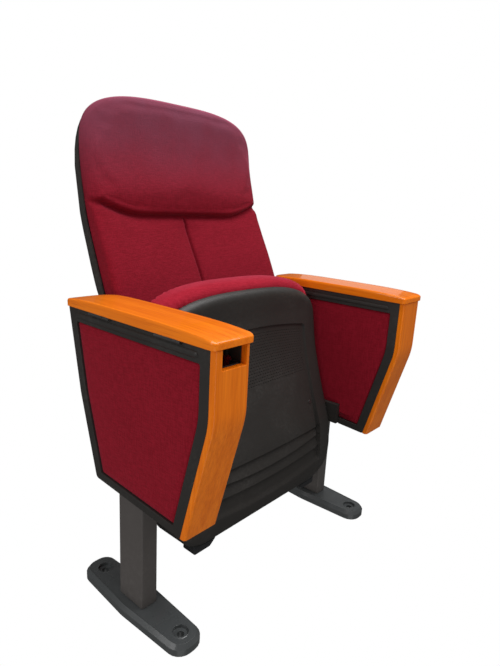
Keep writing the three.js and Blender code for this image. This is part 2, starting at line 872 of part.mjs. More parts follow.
function seatShell() {
  const half = seatWidth / 2;
  const rear = seatRim + overrun;
  const outside = common(
    alongX([...shellLine, [seatRim, seatTop], [seatRim, seatBottom]], [-half, half]),
    alongY(shellOutline(0), [-seatBelly - overrun, rear]),
  );
  const inside = shellLine.map(([y, z]) => [y + shellWall, z]);
  const hollow = common(
    alongX([...inside, [rear, seatTop], [rear, seatBottom]], [-half, half]),
    alongY(shellOutline(shellWall), [-seatBelly, rear]),
  );
  const backing = common(
    shellSkin(shellWall / 2, shellWall + fieldDepth), fieldStrip(...fieldLimits(shellWall)),
  );
  const field = common(shellSkin(-overrun, fieldDepth), fieldStrip(...fieldLimits(0)));
  const steps = stepShares.map(({ at, rise }) => {
    const height = seatBottom + seatLength * at;
    const bend = fieldBottomRise * rise;
    const limits = [{ height: height - stepWidth, rise: bend }, { height, rise: bend }];
    const strip = fieldStrip(...limits, fieldHalf + shellWall / 2);
    return common(shellSkin(stepBelowFace, shellWall / 2 + fieldDepth), strip);
  });
  const holes = [-1, 1].map((way) => {
    const ends = [half - seatCorner, half + overrun].map((x) => way * x).sort((a, b) => a - b);
    return rodX(hubRadius + fit, ends, -pivotForward, pivotHeight);
  });
  const wall = join(cut(outside, hollow), backing);
  return cut(join(cut(wall, field), ...steps), ...holes, ...seatScrewWays.map(seatScrewHole));
}

// Lower and upper arcs of the field and its half width, grown on all sides by a margin
function fieldLimits(margin) {
  return [
    { height: fieldBottom - margin, rise: fieldBottomRise },
    { height: fieldTop + margin, rise: -fieldTopDrop },
    fieldHalf + margin,
  ];
}

// Screws that hold the shell to the upper cross tube of the seat frame
const seatScrewMargin = 66;
const seatScrewX = seatWidth / 2 - seatScrewMargin;
const seatScrewAbovePivot = 40;
const seatScrewHeight = pivotHeight + seatScrewAbovePivot;
const seatScrewLength = 14;
const seatScrewWays = [-1, 1];
const slopeSpan = 10;
const seatScrewSlope = Math.atan(
  (shellFaceAt(seatScrewHeight + slopeSpan) - shellFaceAt(seatScrewHeight - slopeSpan)) / (2 * slopeSpan),
);

function seatScrewPlace(way) {
  return [way * seatScrewX, shellFaceAt(seatScrewHeight) + fieldDepth - 2 * fit, seatScrewHeight];
}

function seatScrewHole(way) {
  return screwHole(seatScrewLength, -seatScrewSlope, seatScrewPlace(way));
}

// Seat board: pressed pan behind the shell that the foam sits on
const seatBoardThickness = 7.5;
const seatBoardSideMargin = 11;
const seatBoardHalf = seatWidth / 2 - seatBoardSideMargin;
const seatBoardLowMargin = 20;
const seatBoardLow = seatBottom + seatBoardLowMargin;
const seatBoardHighMargin = 97;
const seatBoardHigh = seatTop - seatBoardHighMargin;
const seatBoardCorner = 60;
const seatBoardBack = seatRim - fit;
const seatBoardFront = seatBoardBack - seatBoardThickness;

function seatBoard() {
  const corners = [
    [-seatBoardHalf, seatBoardLow], [seatBoardHalf, seatBoardLow],
    [seatBoardHalf, seatBoardHigh], [-seatBoardHalf, seatBoardHigh],
  ];
  const outline = rounded(corners.map((corner) => [...corner, seatBoardCorner]));
  return alongY(outline, [seatBoardFront, seatBoardBack]);
}

// Seat frame: side webs, cross tubes and the pivot hubs
const webSideMargin = 16;
const webX = seatWidth / 2 - webSideMargin;
const webThickness = 4;
const webLowMargin = 44;
const webLow = seatBottom + webLowMargin;
const webAbovePivot = 163;
const webHigh = pivotHeight + webAbovePivot;
const webClearance = 0.9;
const tubeGap = 1.5;
const lowTubeRadius = 11;
const lowTubeForward = 30;
const lowTubeRise = 55;
const lowTubeHeight = seatBottom + lowTubeRise;
const screwTubeRadius = 10;
const crossTubes = [
  { radius: lowTubeRadius, y: -lowTubeForward, z: lowTubeHeight },
  {
    radius: screwTubeRadius,
    y: shellFaceAt(seatScrewHeight) + shellWall + fieldDepth + tubeGap + screwTubeRadius,
    z: seatScrewHeight,
  },
];

function seatFrame() {
  const web = shellLine.filter(([, z]) => z > webLow && z < webHigh);
  const back = seatBoardFront - fit;
  const outline = [
    [back, webLow], [shellFaceAt(webLow) + shellWall + webClearance, webLow],
    ...web.map(([y, z]) => [y + shellWall + webClearance, z]),
    [shellFaceAt(webHigh) + shellWall + webClearance, webHigh], [back, webHigh],
  ].reverse();
  const span = [-webX - webThickness, webX + webThickness];
  const tubes = crossTubes.map(({ y, z, radius }) => rodX(radius, span, y, z));
  const sides = [-1, 1].flatMap((way) => {
    const limits = (near, far) => [way * near, way * far].sort((a, b) => a - b);
    return [
      alongX(outline, limits(webX, webX + webThickness)),
      rodX(hubRadius, limits(hubInner, hubOuter), -pivotForward, pivotHeight),
    ];
  });
  const bores = [-1, 1].map((way) => {
    const limits = [way * (hubInner - overrun), way * (hubOuter + overrun)].sort((a, b) => a - b);
    return rodX(hubBore, limits, -pivotForward, pivotHeight);
  });
  return cut(join(...tubes, ...sides), ...bores, ...seatScrewWays.map(seatScrewHole));
}

// Rubber buffers under the shell near its corners, their inner sides sloped
const bufferSideMargin = 100;
const bufferInner = seatWidth / 2 - bufferSideMargin;
const bufferWidth = 61.5;
const bufferSlope = 17;
const bufferForward = 62.5;
const bufferBackward = 30;
const bufferHeight = 14;
const bufferRound = 5;

function buffer() {
  const low = seatBottom - bufferHeight;
  const outer = bufferInner + bufferWidth;
  const outline = rounded([
    [bufferInner + bufferSlope, low, bufferRound], [outer, low, bufferRound],
    [outer, seatBottom + bufferHeight, 0], [bufferInner, seatBottom + bufferHeight, 0],
    [bufferInner, seatBottom, 0],
  ]);
  const room = alongY(shellOutline(-fit), [-bufferForward - overrun, -bufferBackward + overrun]);
  return cut(alongY(outline, [-bufferForward, -bufferBackward]), room);
}

// Upholstered pad between two faces about a middle surface, with rounded edges
const padEdgeShare = 0.25;

function fullness(u, v, power) {
  const full = bulge(u, power) * bulge(2 * v - 1, power);
  return padEdgeShare + (1 - padEdgeShare) * full;
}

// Seat cushion, standing up behind the shell's rim
const cushionGap = 0.4;
const cushionSideMargin = 3;
const cushionHalf = seatWidth / 2 - cushionSideMargin;
const cushionLowMargin = 13;
const cushionLow = seatBottom + cushionLowMargin;
const cushionStandsProud = 20;
const cushionTop = seatTop + cushionStandsProud;
const cushionArchRise = 77;
const cushionShoulder = cushionTop - cushionArchRise;
const cushionArchPower = 3.2;
const cushionCornerRise = 78;
const cushionCornerPower = 4;
const cushionRearThickness = 27;
const cushionFrontThickness = 58;
const cushionCrown = 11;
const cushionDrawIn = 4;
const cushionPower = 5;
const cushionColumnShares = [0, 0.2, 0.42, 0.62, 0.79, 0.91, 0.975, 1];
const cushionRowShares = [0, 0.012, 0.04, 0.1, 0.2, 0.35, 0.5, 0.65, 0.78, 0.88, 0.945, 0.985, 1];

// Both signs of a list of shares from 0 up
function bothWays(shares) {
  return [...shares.slice(1).reverse().map((share) => -share), ...shares];
}

function seatCushion() {
  const at = (u, v) => {
    const arch = (cushionTop - cushionShoulder) * bulge(u, cushionArchPower);
    const low = cushionLow + cushionCornerRise * (1 - bulge(u, cushionCornerPower));
    const z = THREE.MathUtils.lerp(low, cushionShoulder + arch, v);
    const x = (cushionHalf - cushionDrawIn * Math.sin(Math.PI * v)) * u;
    const thickness = THREE.MathUtils.lerp(cushionRearThickness, cushionFrontThickness, v);
    return { x, z, half: thickness / 2 };
  };
  const front = (u, v) => {
    const { x, z, half } = at(u, v);
    return [x, seatRim + cushionGap + half - half * fullness(u, v, cushionPower), z];
  };
  const back = (u, v) => {
    const { x, z, half } = at(u, v);
    const crown = cushionCrown * (1 - u ** 2) * Math.sin(Math.PI * v);
    return [x, seatRim + cushionGap + half + half * fullness(u, v, cushionPower) + crown, z];
  };
  return slab(front, back, bothWays(cushionColumnShares), cushionRowShares);
}

// Back: its main line leans back, then bends upright on an arc
const bendRise = 235;
const bendHeight = backBottom + bendRise;
const bendY = 214;
const bendRadius = 540;
const backArchRise = 114;
const backShoulder = overallHeight - backArchRise;
const backArchPower = 3.2;
const backCornerRise = 25;
const backCornerPower = 6;
const backSeamEdge = 765;
const backSeamMiddle = 736;
const backSeamFlatShare = 0.45;

function backLineAt(z) {
  if (z < bendHeight) {
    return bendY + (z - bendHeight) * Math.tan(backRecline);
  }
  const lean = Math.sin(backRecline) - (z - bendHeight) / bendRadius;
  return bendY + bendRadius * (Math.sqrt(1 - lean ** 2) - Math.cos(backRecline));
}

// Height on the back: v runs from the bottom edge to the seam at a half, then to the arched top
function backHeightAt(u, v, shrink) {
  const low = backBottom + shrink + backCornerRise * (1 - bulge(u, backCornerPower));
  const top = backShoulder + (overallHeight - shrink - backShoulder) * bulge(u, backArchPower);
  const rise = THREE.MathUtils.smoothstep(Math.abs(u), backSeamFlatShare, 1);
  const seam = backSeamMiddle + (backSeamEdge - backSeamMiddle) * rise;
  return v < 0.5 ? THREE.MathUtils.lerp(low, seam, 2 * v) : THREE.MathUtils.lerp(seam, top, 2 * v - 1);
}

const backPadThickness = 26;
const backCrown = 2;
const lumbarRise = 18;
const lumbarHollowShare = 0.6;
const backPadPower = 7;
const seamDepth = 6;
const seamHalfWidth = 7;
const backColumnShares = [0, 0.016, 0.04, 0.1, 0.22, 0.4, 0.58, 0.75, 0.88, 0.96, 1];
const backRowShares = [
  0, 0.01, 0.035, 0.09, 0.17, 0.28, 0.38, 0.44, 0.468, 0.486, 0.5, 0.516, 0.54, 0.58, 0.66, 0.76, 0.85, 0.92,
  0.96, 0.988, 1,
];

// Channel pulled in by a seam at a distance from it
function channel(distance) {
  return seamDepth * Math.exp(-((distance / seamHalfWidth) ** 2));
}

// Share of the lumbar rise across the back, less in the middle
function lumbarShare(u) {
  return bulge(u, backPadPower) - lumbarHollowShare * (1 - u ** 2);
}

function backCushion() {
  const half = backPadThickness / 2;
  const at = (u, v) => ({ x: (backWidth / 2) * u, z: backHeightAt(u, v, 0) });
  const front = (u, v) => {
    const { x, z } = at(u, v);
    const crown = backCrown * (1 - u ** 4) * Math.sin(Math.PI * v) ** 0.6;
    const across = channel(z - backHeightAt(u, 0.5, 0));
    const centre = v <= 0.5 ? channel(x) : 0;
    const lumbar = v < 0.5 ? lumbarRise * lumbarShare(u) * Math.sin(2 * Math.PI * v) : 0;
    const face = half * fullness(u, v, backPadPower) + crown + lumbar - Math.max(across, centre);
    return [x, backLineAt(z) - fit - half - Math.max(face, half * padEdgeShare), z];
  };
  const back = (u, v) => {
    const { x, z } = at(u, v);
    return [x, backLineAt(z) - fit - half + half * fullness(u, v, backPadPower), z];
  };
  return slab(front, back, bothWays(backColumnShares), backRowShares);
}

// Back board of plywood and rear shell of plastic
const backBoardGap = 0.8;
const backBoardThickness = 10.6;
const backBoardInset = 28;
const backShellWall = 3.5;
const backShellBulge = 8;
const backShellSide = 16;
const backShellLip = 2;
const shellOverhang = 1;
const rimPower = 40;
const boardColumnShares = [0, 0.35, 0.6, 0.8, 1];
const boardRowShares = [0, 0.15, 0.3, 0.4, 0.5, 0.56, 0.62, 0.68, 0.75, 0.81, 0.87, 0.94, 1];
const shellColumnShares = [0, 0.4, 0.8, 0.92, 0.975, 1];
const shellRowShares = [
  0, 0.012, 0.035, 0.09, 0.2, 0.3, 0.4, 0.5, 0.56, 0.62, 0.68, 0.75, 0.81, 0.87, 0.92, 0.96, 0.985, 1,
];

function backBoard() {
  const face = (depth) => (u, v) => {
    const z = backHeightAt(u, v, backBoardInset);
    return [(backWidth / 2 - backBoardInset) * u, backLineAt(z) + depth, z];
  };
  const rear = backBoardGap + backBoardThickness;
  const board = slab(face(backBoardGap), face(rear), bothWays(boardColumnShares), boardRowShares);
  return cut(board, ...backScrewWays.map(backScrewHole));
}

function backShell() {
  const depthAt = (u, v) => {
    const edge = Math.max(Math.abs(u) ** rimPower, Math.abs(2 * v - 1) ** rimPower);
    const dome = backShellBulge * (1 - u ** 2) * Math.sin(Math.PI * v);
    return backShellSide + dome - (backShellSide + backShellLip) * edge;
  };
  const face = (shrink) => (u, v) => {
    const z = backHeightAt(u, v, shrink - shellOverhang);
    const wall = shrink * (1 - Math.max(Math.abs(u), Math.abs(2 * v - 1)) ** rimPower);
    return [(backWidth / 2 + shellOverhang - shrink) * u, backLineAt(z) + depthAt(u, v) - wall, z];
  };
  const shell = slab(face(backShellWall), face(0), bothWays(shellColumnShares), shellRowShares);
  return cut(shell, ...backScrewWays.map(backScrewHole));
}

// Back brackets: an arm on the inner side of each arm box and a wing behind the rear shell
const bracketThickness = 4;
const bracketFront = 66;
const bracketLowMargin = 7;
const bracketLow = backBottom + bracketLowMargin;
const bracketHeight = 94;
const bracketHigh = bracketLow + bracketHeight;
const wingGap = 1.8;
const bracketOuter = boxInner - fit;
const wingLength = 57.4;
const wingInner = bracketOuter - wingLength;
const backScrewMargin = 36;
const backScrewX = backWidth / 2 - backScrewMargin;
const backScrewRise = 55;
const backScrewHeight = backBottom + backScrewRise;
const backScrewLength = 17;
const backScrewWays = [-1, 1];
const forwards = Math.PI - backRecline;

function behind(z) {
  return backLineAt(z) + backShellSide + wingGap;
}

function backScrewPlace(way) {
  return [way * backScrewX, behind(backScrewHeight) + bracketThickness + fit, backScrewHeight];
}

function backScrewHole(way) {
  return screwHole(backScrewLength, forwards, backScrewPlace(way));
}

function backBracket() {
  const wing = alongX([
    [behind(bracketLow), bracketLow], [behind(bracketLow) + bracketThickness, bracketLow],
    [behind(bracketHigh) + bracketThickness, bracketHigh], [behind(bracketHigh), bracketHigh],
  ], [wingInner, bracketOuter]);
  const arm = alongX([
    [bracketFront, bracketLow], [behind(bracketLow) + bracketThickness, bracketLow],
    [behind(bracketHigh) + bracketThickness, bracketHigh], [bracketFront, bracketHigh],
  ], [bracketOuter - bracketThickness, bracketOuter]);
  const through = [bracketOuter - bracketThickness - overrun, bracketOuter + overrun];
  const holes = boltHeights.map((z) => rodX(boltRadius + fit, through, boltY, z, smallRodSides));
  return cut(join(wing, arm), ...holes, backScrewHole(1));
}

// Bolts through bracket, inner panel and side plate
const boltHeadRadius = 6.5;
const boltHeadHeight = 3.5;
const nutHeight = 5;
const hexSides = 6;

function bracketBolt(z) {
  const head = bracketOuter - bracketThickness - fit;
  const nut = plateOuter + fit;
  return join(
    rodX(boltHeadRadius, [head - boltHeadHeight, head], boltY, z, hexSides),
    rodX(boltRadius, [head - boltHeadHeight, nut + nutHeight], boltY, z, smallRodSides),
    rodX(boltHeadRadius, [nut, nut + nutHeight], boltY, z, hexSides),
  );
}

function panelBoltHoles() {
  return boltHeights.map((z) => rodX(
    boltRadius + fit, [boxInner - overrun, plateInner + overrun], boltY, z, smallRodSides,
  ));
}

// Writing tablet, stowed upright in the left arm box above the post
const tabletSideways = 7;
const tabletInner = standardX + tabletSideways;
const tabletThickness = 17;
const tabletFront = 184;
const tabletRear = 96;
const tabletLow = 342;
const tabletHigh = 562;
const tabletCorner = 22;
const tabletFrontFoot = 120;
const armBarThickness = 5;
const armBarHeight = 30;
const armBarRear = 20;
const tabletGap = 1;
const hingeBlockFront = 186;
const hingeBlockRear = 158;
const hingeBlockLow = 543;
const hingeBlockHigh = 572;
const hingeBlockInner = plateOuter + fit;
const hingeBlockOuter = tabletInner - armBarThickness - 2 * fit;
const tabletPinRadius = 4;
const tabletPinY = -(hingeBlockFront + hingeBlockRear) / 2;
const tabletPinZ = (hingeBlockLow + hingeBlockHigh) / 2;

function tablet() {
  const outline = rounded([
    [-tabletFrontFoot, tabletLow, tabletCorner], [tabletRear, tabletLow, tabletCorner],
    [tabletRear, tabletHigh, tabletCorner], [-tabletFront, tabletHigh, tabletCorner],
    [-tabletFront, boxKinkHeight, tabletCorner],
  ]);
  return alongX(outline, [tabletInner, tabletInner + tabletThickness]);
}

function tabletPinRod(radius, limits) {
  return rodX(radius, limits, tabletPinY, tabletPinZ, smallRodSides);
}

function tabletArm() {
  const low = tabletPinZ - armBarHeight / 2;
  const bar = box(
    [tabletInner - fit - armBarThickness, tabletInner - fit],
    [-hingeBlockFront + tabletGap, armBarRear], [low, low + armBarHeight],
  );
  return cut(bar, tabletPinRod(tabletPinRadius + fit, [hingeBlockOuter - overrun, tabletInner + overrun]));
}

function tabletHingeBlock() {
  const block = box(
    [hingeBlockInner, hingeBlockOuter], [-hingeBlockFront, -hingeBlockRear], [hingeBlockLow, hingeBlockHigh],
  );
  return cut(block, tabletPinRod(tabletPinRadius + fit, [hingeBlockInner + plateThickness, tabletInner]));
}

function tabletPin() {
  return tabletPinRod(tabletPinRadius, [hingeBlockInner + plateThickness + fit, tabletInner - 2 * fit]);
}

// Assembly
const ends = ["front", "rear"];
for (const side of ["left", "right"]) {
  addOn(side, "foot", foot(), "foot");
  addOn(side, "post", post(), "paint");
  addOn(side, "side_plate", sidePlate(side), "steel");
  addOn(side, "outer_casing", casing(side, "outer"), "plastic");
  addOn(side, "inner_casing", casing(side, "inner"), "plastic");
  addOn(side, "outer_panel", panel(side, "outer"), "fabric");
  addOn(side, "inner_panel", panel(side, "inner"), "fabric");
  addOn(side, "fascia", fascia(side), "wood");
  addOn(side, "armrest", armrest(side), "wood");
  addOn(side, "pivot_housing", pivotHousing(), "plastic");
  addOn(side, "pivot_shaft", pivotShaft(), "steel");
  addOn(side, "pivot_bush", ringX(bushRadius, bushBore, [hubInner, hubOuter]), "nylon");
  addOn(side, "stop_cam", stopCam(), "steel");
  addOn(side, "return_spring", returnSpring(), "steel");
  addOn(side, "seat_buffer", buffer(), "rubber");
  addOn(side, "back_bracket", backBracket(), "paint");
  addOn(side, "back_screw", screw(backScrewLength, forwards, backScrewPlace(1)), "steel");
  addOn(side, "seat_screw", screw(seatScrewLength, -seatScrewSlope, seatScrewPlace(1)), "steel");
  boltHeights.forEach((z, index) => {
    addOn(side, `${["lower", "upper"][index]}_bracket_bolt`, bracketBolt(z), "steel");
  });
}
hingeMiddles.forEach((y, index) => {
  const end = ends[index];
  addOn("left", `${end}_lid_hinge_leaf`, lidLeaf(y), "steel");
  addOn("left", `${end}_casing_hinge_leaf`, casingLeaf(y), "steel");
  addOn("left", `${end}_hinge_pin`, hingeRod(pinRadius, y, hingeLength / 2), "steel");
});
armrestScrewYs.forEach((y, index) => {
  const piece = screw(armrestScrewLength, upwards, armrestScrewPlace(y));
  addOn("right", `${ends[index]}_armrest_screw`, piece, "steel");
});
addOn("left", "writing_tablet", tablet(), "plastic");
addOn("left", "tablet_arm", tabletArm(), "steel");
addOn("left", "tablet_hinge_block", tabletHingeBlock(), "paint");
addOn("left", "tablet_pin", tabletPin(), "steel");
add("seat_shell", seatShell(), "plastic");
add("seat_board", seatBoard(), "board");
add("seat_frame", seatFrame(), "steel");
add("seat_cushion", seatCushion(), "fabric");
add("back_cushion", backCushion(), "fabric");
add("back_board", backBoard(), "board");
add("back_shell", backShell(), "plastic");

// The origin is on the floor, in the middle of the chair's bounding box
const seatGroup = new THREE.Group();
seatGroup.add(chair);
const bounds = new THREE.Box3().setFromObject(chair);
chair.position.y = -(bounds.min.y + bounds.max.y) / 2;

export default seatGroup;
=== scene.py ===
"""Tip up auditorium seat: the finish of every piece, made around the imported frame.

Metres, +Z up, the front is -Y. Left and right are the viewer's. The seat stands tipped up at rest.
"""

from __future__ import annotations

import json
import logging
import math
from bisect import bisect_right
from collections.abc import Callable, Sequence
from dataclasses import dataclass
from enum import Enum
from functools import reduce

import bmesh
import bpy
from mathutils import Matrix, Vector
from mathutils.noise import noise

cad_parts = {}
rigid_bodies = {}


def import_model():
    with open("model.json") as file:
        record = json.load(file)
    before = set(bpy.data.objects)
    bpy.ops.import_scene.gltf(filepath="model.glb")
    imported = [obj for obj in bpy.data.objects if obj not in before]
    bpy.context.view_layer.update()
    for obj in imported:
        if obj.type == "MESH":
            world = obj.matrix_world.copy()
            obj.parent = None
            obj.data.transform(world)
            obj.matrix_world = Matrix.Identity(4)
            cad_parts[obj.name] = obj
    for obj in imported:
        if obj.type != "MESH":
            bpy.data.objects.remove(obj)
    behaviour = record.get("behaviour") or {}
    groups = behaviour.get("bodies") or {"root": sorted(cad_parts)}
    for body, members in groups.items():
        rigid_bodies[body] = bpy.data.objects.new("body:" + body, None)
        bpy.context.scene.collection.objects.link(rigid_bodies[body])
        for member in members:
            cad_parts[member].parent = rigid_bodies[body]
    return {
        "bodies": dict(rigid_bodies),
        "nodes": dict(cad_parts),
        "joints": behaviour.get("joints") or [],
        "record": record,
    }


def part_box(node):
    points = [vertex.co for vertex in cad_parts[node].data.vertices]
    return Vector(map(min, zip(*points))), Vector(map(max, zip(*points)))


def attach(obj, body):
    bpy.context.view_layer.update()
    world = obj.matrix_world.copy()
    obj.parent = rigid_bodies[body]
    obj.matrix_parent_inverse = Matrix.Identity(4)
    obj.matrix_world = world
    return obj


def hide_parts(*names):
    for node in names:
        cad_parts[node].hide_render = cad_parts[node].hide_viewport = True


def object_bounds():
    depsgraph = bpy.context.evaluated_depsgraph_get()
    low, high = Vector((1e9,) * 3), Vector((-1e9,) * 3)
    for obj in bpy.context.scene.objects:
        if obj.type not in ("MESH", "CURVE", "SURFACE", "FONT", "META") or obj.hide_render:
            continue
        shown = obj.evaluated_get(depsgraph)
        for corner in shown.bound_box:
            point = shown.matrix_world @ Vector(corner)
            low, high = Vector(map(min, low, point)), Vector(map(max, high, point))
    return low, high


LOG = logging.getLogger("auditorium_seat")
LEFT = -1
RIGHT = 1
SIDES = {LEFT: "left", RIGHT: "right"}
QUARTER = math.pi / 2.0
COARSE = 2
MEDIUM = 3
FINE = 4
DATUM_Y = -0.02391478
Mesh = bmesh.types.BMesh
Points = list[bmesh.types.BMVert]
Piece = bpy.types.Object
Socket = bpy.types.NodeSocket
Line = Callable[[float], float]
Surface = Callable[[float, float], float]
Range = tuple[float, float]
Triple = tuple[float, float, float]
Colour = tuple[float, float, float, float]


class Graph:
    """The node tree of one material, built through short calls."""

    def __init__(self, name: str) -> None:
        """Start a material with its shader and its place in the object's own frame.

        Args:
            name: The material's name.
        """
        self.material = bpy.data.materials.new(name)
        self.material.use_nodes = True
        self.tree = self.material.node_tree
        self.shader = self.tree.nodes["Principled BSDF"]
        self.place = self.tree.nodes.new("ShaderNodeTexCoord").outputs["Object"]

    def node(self, kind: str, inputs: dict[str | int, object], **settings: object) -> bpy.types.Node:
        """Add a node.

        Args:
            kind: The node's type without its ShaderNode prefix.
            inputs: A socket or a constant for each input.
            settings: The node's own options.

        Returns:
            The new node.
        """
        made = self.tree.nodes.new("ShaderNode" + kind)
        for key, value in settings.items():
            setattr(made, key, value)
        for key, value in inputs.items():
            self.feed(made.inputs[key], value)
        return made

    def feed(self, socket: Socket, value: object) -> None:
        """Link a socket to another one, or set its constant.

        Args:
            socket: The input.
            value: The socket or the constant that it takes.
        """
        if isinstance(value, Socket):
            self.tree.links.new(value, socket)
        else:
            socket.default_value = value

    def dress(self, **inputs: object) -> None:
        """Feed the shader's inputs, written in lower case with underscores."""
        for key, value in inputs.items():
            self.feed(self.shader.inputs[key.replace("_", " ").title().replace("Ior", "IOR")], value)

    def maths(self, operation: str, *values: object) -> Socket:
        """Combine one to three values with a Math node and return the result."""
        return self.node("Math", dict(enumerate(values)), operation=operation).outputs[0]

    def mixed(self, values: Sequence[Socket], shares: Sequence[float]) -> Socket:
        """Return the sum of values, each times its share."""
        parts = [self.maths("MULTIPLY", value, share) for value, share in zip(values, shares)]
        return reduce(lambda first, second: self.maths("ADD", first, second), parts)

    def axes(self, vector: Socket) -> list[Socket]:
        """Return the three parts of a vector."""
        return list(self.node("SeparateXYZ", {0: vector}).outputs)

    def stretched(self, scale: Sequence[float]) -> Socket:
        """Return the object's place scaled along each axis."""
        return self.node("Mapping", {"Vector": self.place, "Scale": scale}).outputs[0]

    def cloud(self, vector: Socket, scale: float, detail: float = 2.0,
              distortion: float = 0.0) -> Socket:
        """Return a noise between 0 and 1.

        Args:
            vector: Where the noise is read.
            scale: Blobs to the metre.
            detail: Finer layers.
            distortion: How far the noise is stirred.

        Returns:
            The noise.
        """
        inputs = {"Vector": vector, "Scale": scale, "Detail": detail, "Distortion": distortion}
        return self.node("TexNoise", inputs).outputs[0]

    def remap(self, value: Socket, old: Range, new: Range = (0.0, 1.0)) -> Socket:
        """Carry a value from one range to another, clamped, and return it."""
        inputs = {0: value, 1: old[0], 2: old[1], 3: new[0], 4: new[1]}
        return self.node("MapRange", inputs, interpolation_type="SMOOTHSTEP").outputs[0]

    def tint(self, share: object, first: object, second: object) -> Socket:
        """Return a colour between two by a share."""
        return self.node("Mix", {0: share, 6: first, 7: second}, data_type="RGBA").outputs[2]

    def relief(self, height: Socket, depth: float,
               under: Socket | None = None) -> Socket:
        """Return a normal bumped by a height between 0 and 1.

        Args:
            height: The height.
            depth: Its full depth in metres.
            under: A normal that it lies on.

        Returns:
            The bumped normal.
        """
        inputs = {"Height": height, "Distance": depth}
        if under is not None:
            inputs["Normal"] = under
        return self.node("Bump", inputs).outputs[0]


@dataclass(frozen=True)
class WovenFabric:
    """Deep red upholstery: a plain weave with slubs and a soft sheen, plus painted light: a painted sheen
    towards the top and a painted rim highlight on faces seen edge-on.
    """

    deep: Colour = (0.185, 0.0045, 0.0130, 1.0)
    bright: Colour = (0.258, 0.0080, 0.0215, 1.0)
    # rim is a painted highlight: the lighter pink mixed in on faces seen edge-on, more so high up
    rim: Colour = (0.46, 0.105, 0.180, 1.0)
    # painted sheen: a greyish purple mixed in towards the top, standing in for the sheen of light from above
    painted_top_sheen: Colour = (0.195, 0.052, 0.088, 1.0)
    thread_pitch: float = 0.0017
    thread_wander: float = 0.0005
    wander_scale: float = 160.0
    weave_depth: float = 0.00022
    slub_scales: tuple[Triple, ...] = ((70.0, 70.0, 620.0), (620.0, 620.0, 60.0))
    slub_range: Range = (0.72, 1.28)
    slub_depth: float = 0.00012
    patch_scale: float = 14.0
    patch_detail: float = 3.0
    patch_range: Range = (0.2, 0.7)
    yarn_shares: Triple = (0.62, 0.2, 0.3)
    yarn_range: Range = (0.15, 1.0)
    # heights over which the painted top sheen and the painted rim highlight grow
    painted_light_heights: Range = (0.74, 1.00)
    painted_sheen_shares: Range = (0.75, 1.0)
    painted_rim_shares: Range = (0.15, 0.9)
    painted_rim_range: Range = (0.45, 1.0)
    painted_rim_blend: float = 0.5
    roughness: float = 0.9
    sheen: float = 0.05
    sheen_roughness: float = 0.3
    sheen_tint: Colour = (0.95, 0.45, 0.55, 1.0)
    specular: float = 0.12

    def material(self, name: str) -> bpy.types.Material:
        """Build the material under a name.

        Args:
            name: The material's name.

        Returns:
            The material.
        """
        graph = Graph(name)
        wander = graph.node("TexNoise", {"Vector": graph.place, "Scale": self.wander_scale}).outputs[1]
        shift = graph.node("VectorMath", {0: wander, "Scale": self.thread_wander}, operation="SCALE")
        spot = graph.node("VectorMath", {0: graph.place, 1: shift.outputs[0]}, operation="ADD").outputs[0]
        turns = math.tau / self.thread_pitch
        waves = [graph.maths("SINE", graph.maths("MULTIPLY", axis, turns)) for axis in graph.axes(spot)]
        pairs = [graph.maths("MULTIPLY", waves[i], waves[(i + 1) % 3]) for i in range(3)]
        weave = graph.maths("ADD", graph.maths("ADD", pairs[0], pairs[1]), pairs[2])
        weave = graph.remap(weave, (-1.0, 1.0))
        slubs = [graph.cloud(graph.stretched(scale), 1.0) for scale in self.slub_scales]
        slub = graph.remap(graph.maths("ADD", *slubs), self.slub_range)
        patches = graph.cloud(graph.place, self.patch_scale, self.patch_detail)
        yarn = graph.mixed((slub, weave, patches), self.yarn_shares)
        colour = graph.tint(graph.remap(yarn, self.yarn_range), self.deep, self.bright)
        height = graph.axes(graph.place)[2]
        # painted sheen: towards the top the colour turns greyish purple in patches, standing in for the sheen
        # of light from above
        thinned = graph.remap(patches, self.patch_range, self.painted_sheen_shares)
        painted_top_sheen_mask = graph.maths("MULTIPLY", graph.remap(height, self.painted_light_heights), thinned)
        bump = graph.relief(slub, self.slub_depth, graph.relief(weave, self.weave_depth))
        colour = graph.tint(painted_top_sheen_mask, colour, self.painted_top_sheen)
        # painted rim highlight: faces seen edge-on turn lighter pink, more so high up
        facing = graph.node("LayerWeight", {"Blend": self.painted_rim_blend}).outputs["Facing"]
        painted_rim_height_share = graph.remap(height, self.painted_light_heights, self.painted_rim_shares)
        edge = graph.maths("MULTIPLY", graph.remap(facing, self.painted_rim_range), painted_rim_height_share)
        graph.dress(
            base_color=graph.tint(edge, colour, self.rim), roughness=self.roughness, normal=bump,
            sheen_weight=self.sheen, sheen_roughness=self.sheen_roughness, sheen_tint=self.sheen_tint,
            specular_ior_level=self.specular,
        )
        return graph.material


class Grain(Enum):
    """Direction of a wood's grain, as how fine its figure is along X, Y and Z, to the metre."""

    UPRIGHT = (330.0, 260.0, 7.0)
    FORWARDS = (330.0, 7.0, 260.0)


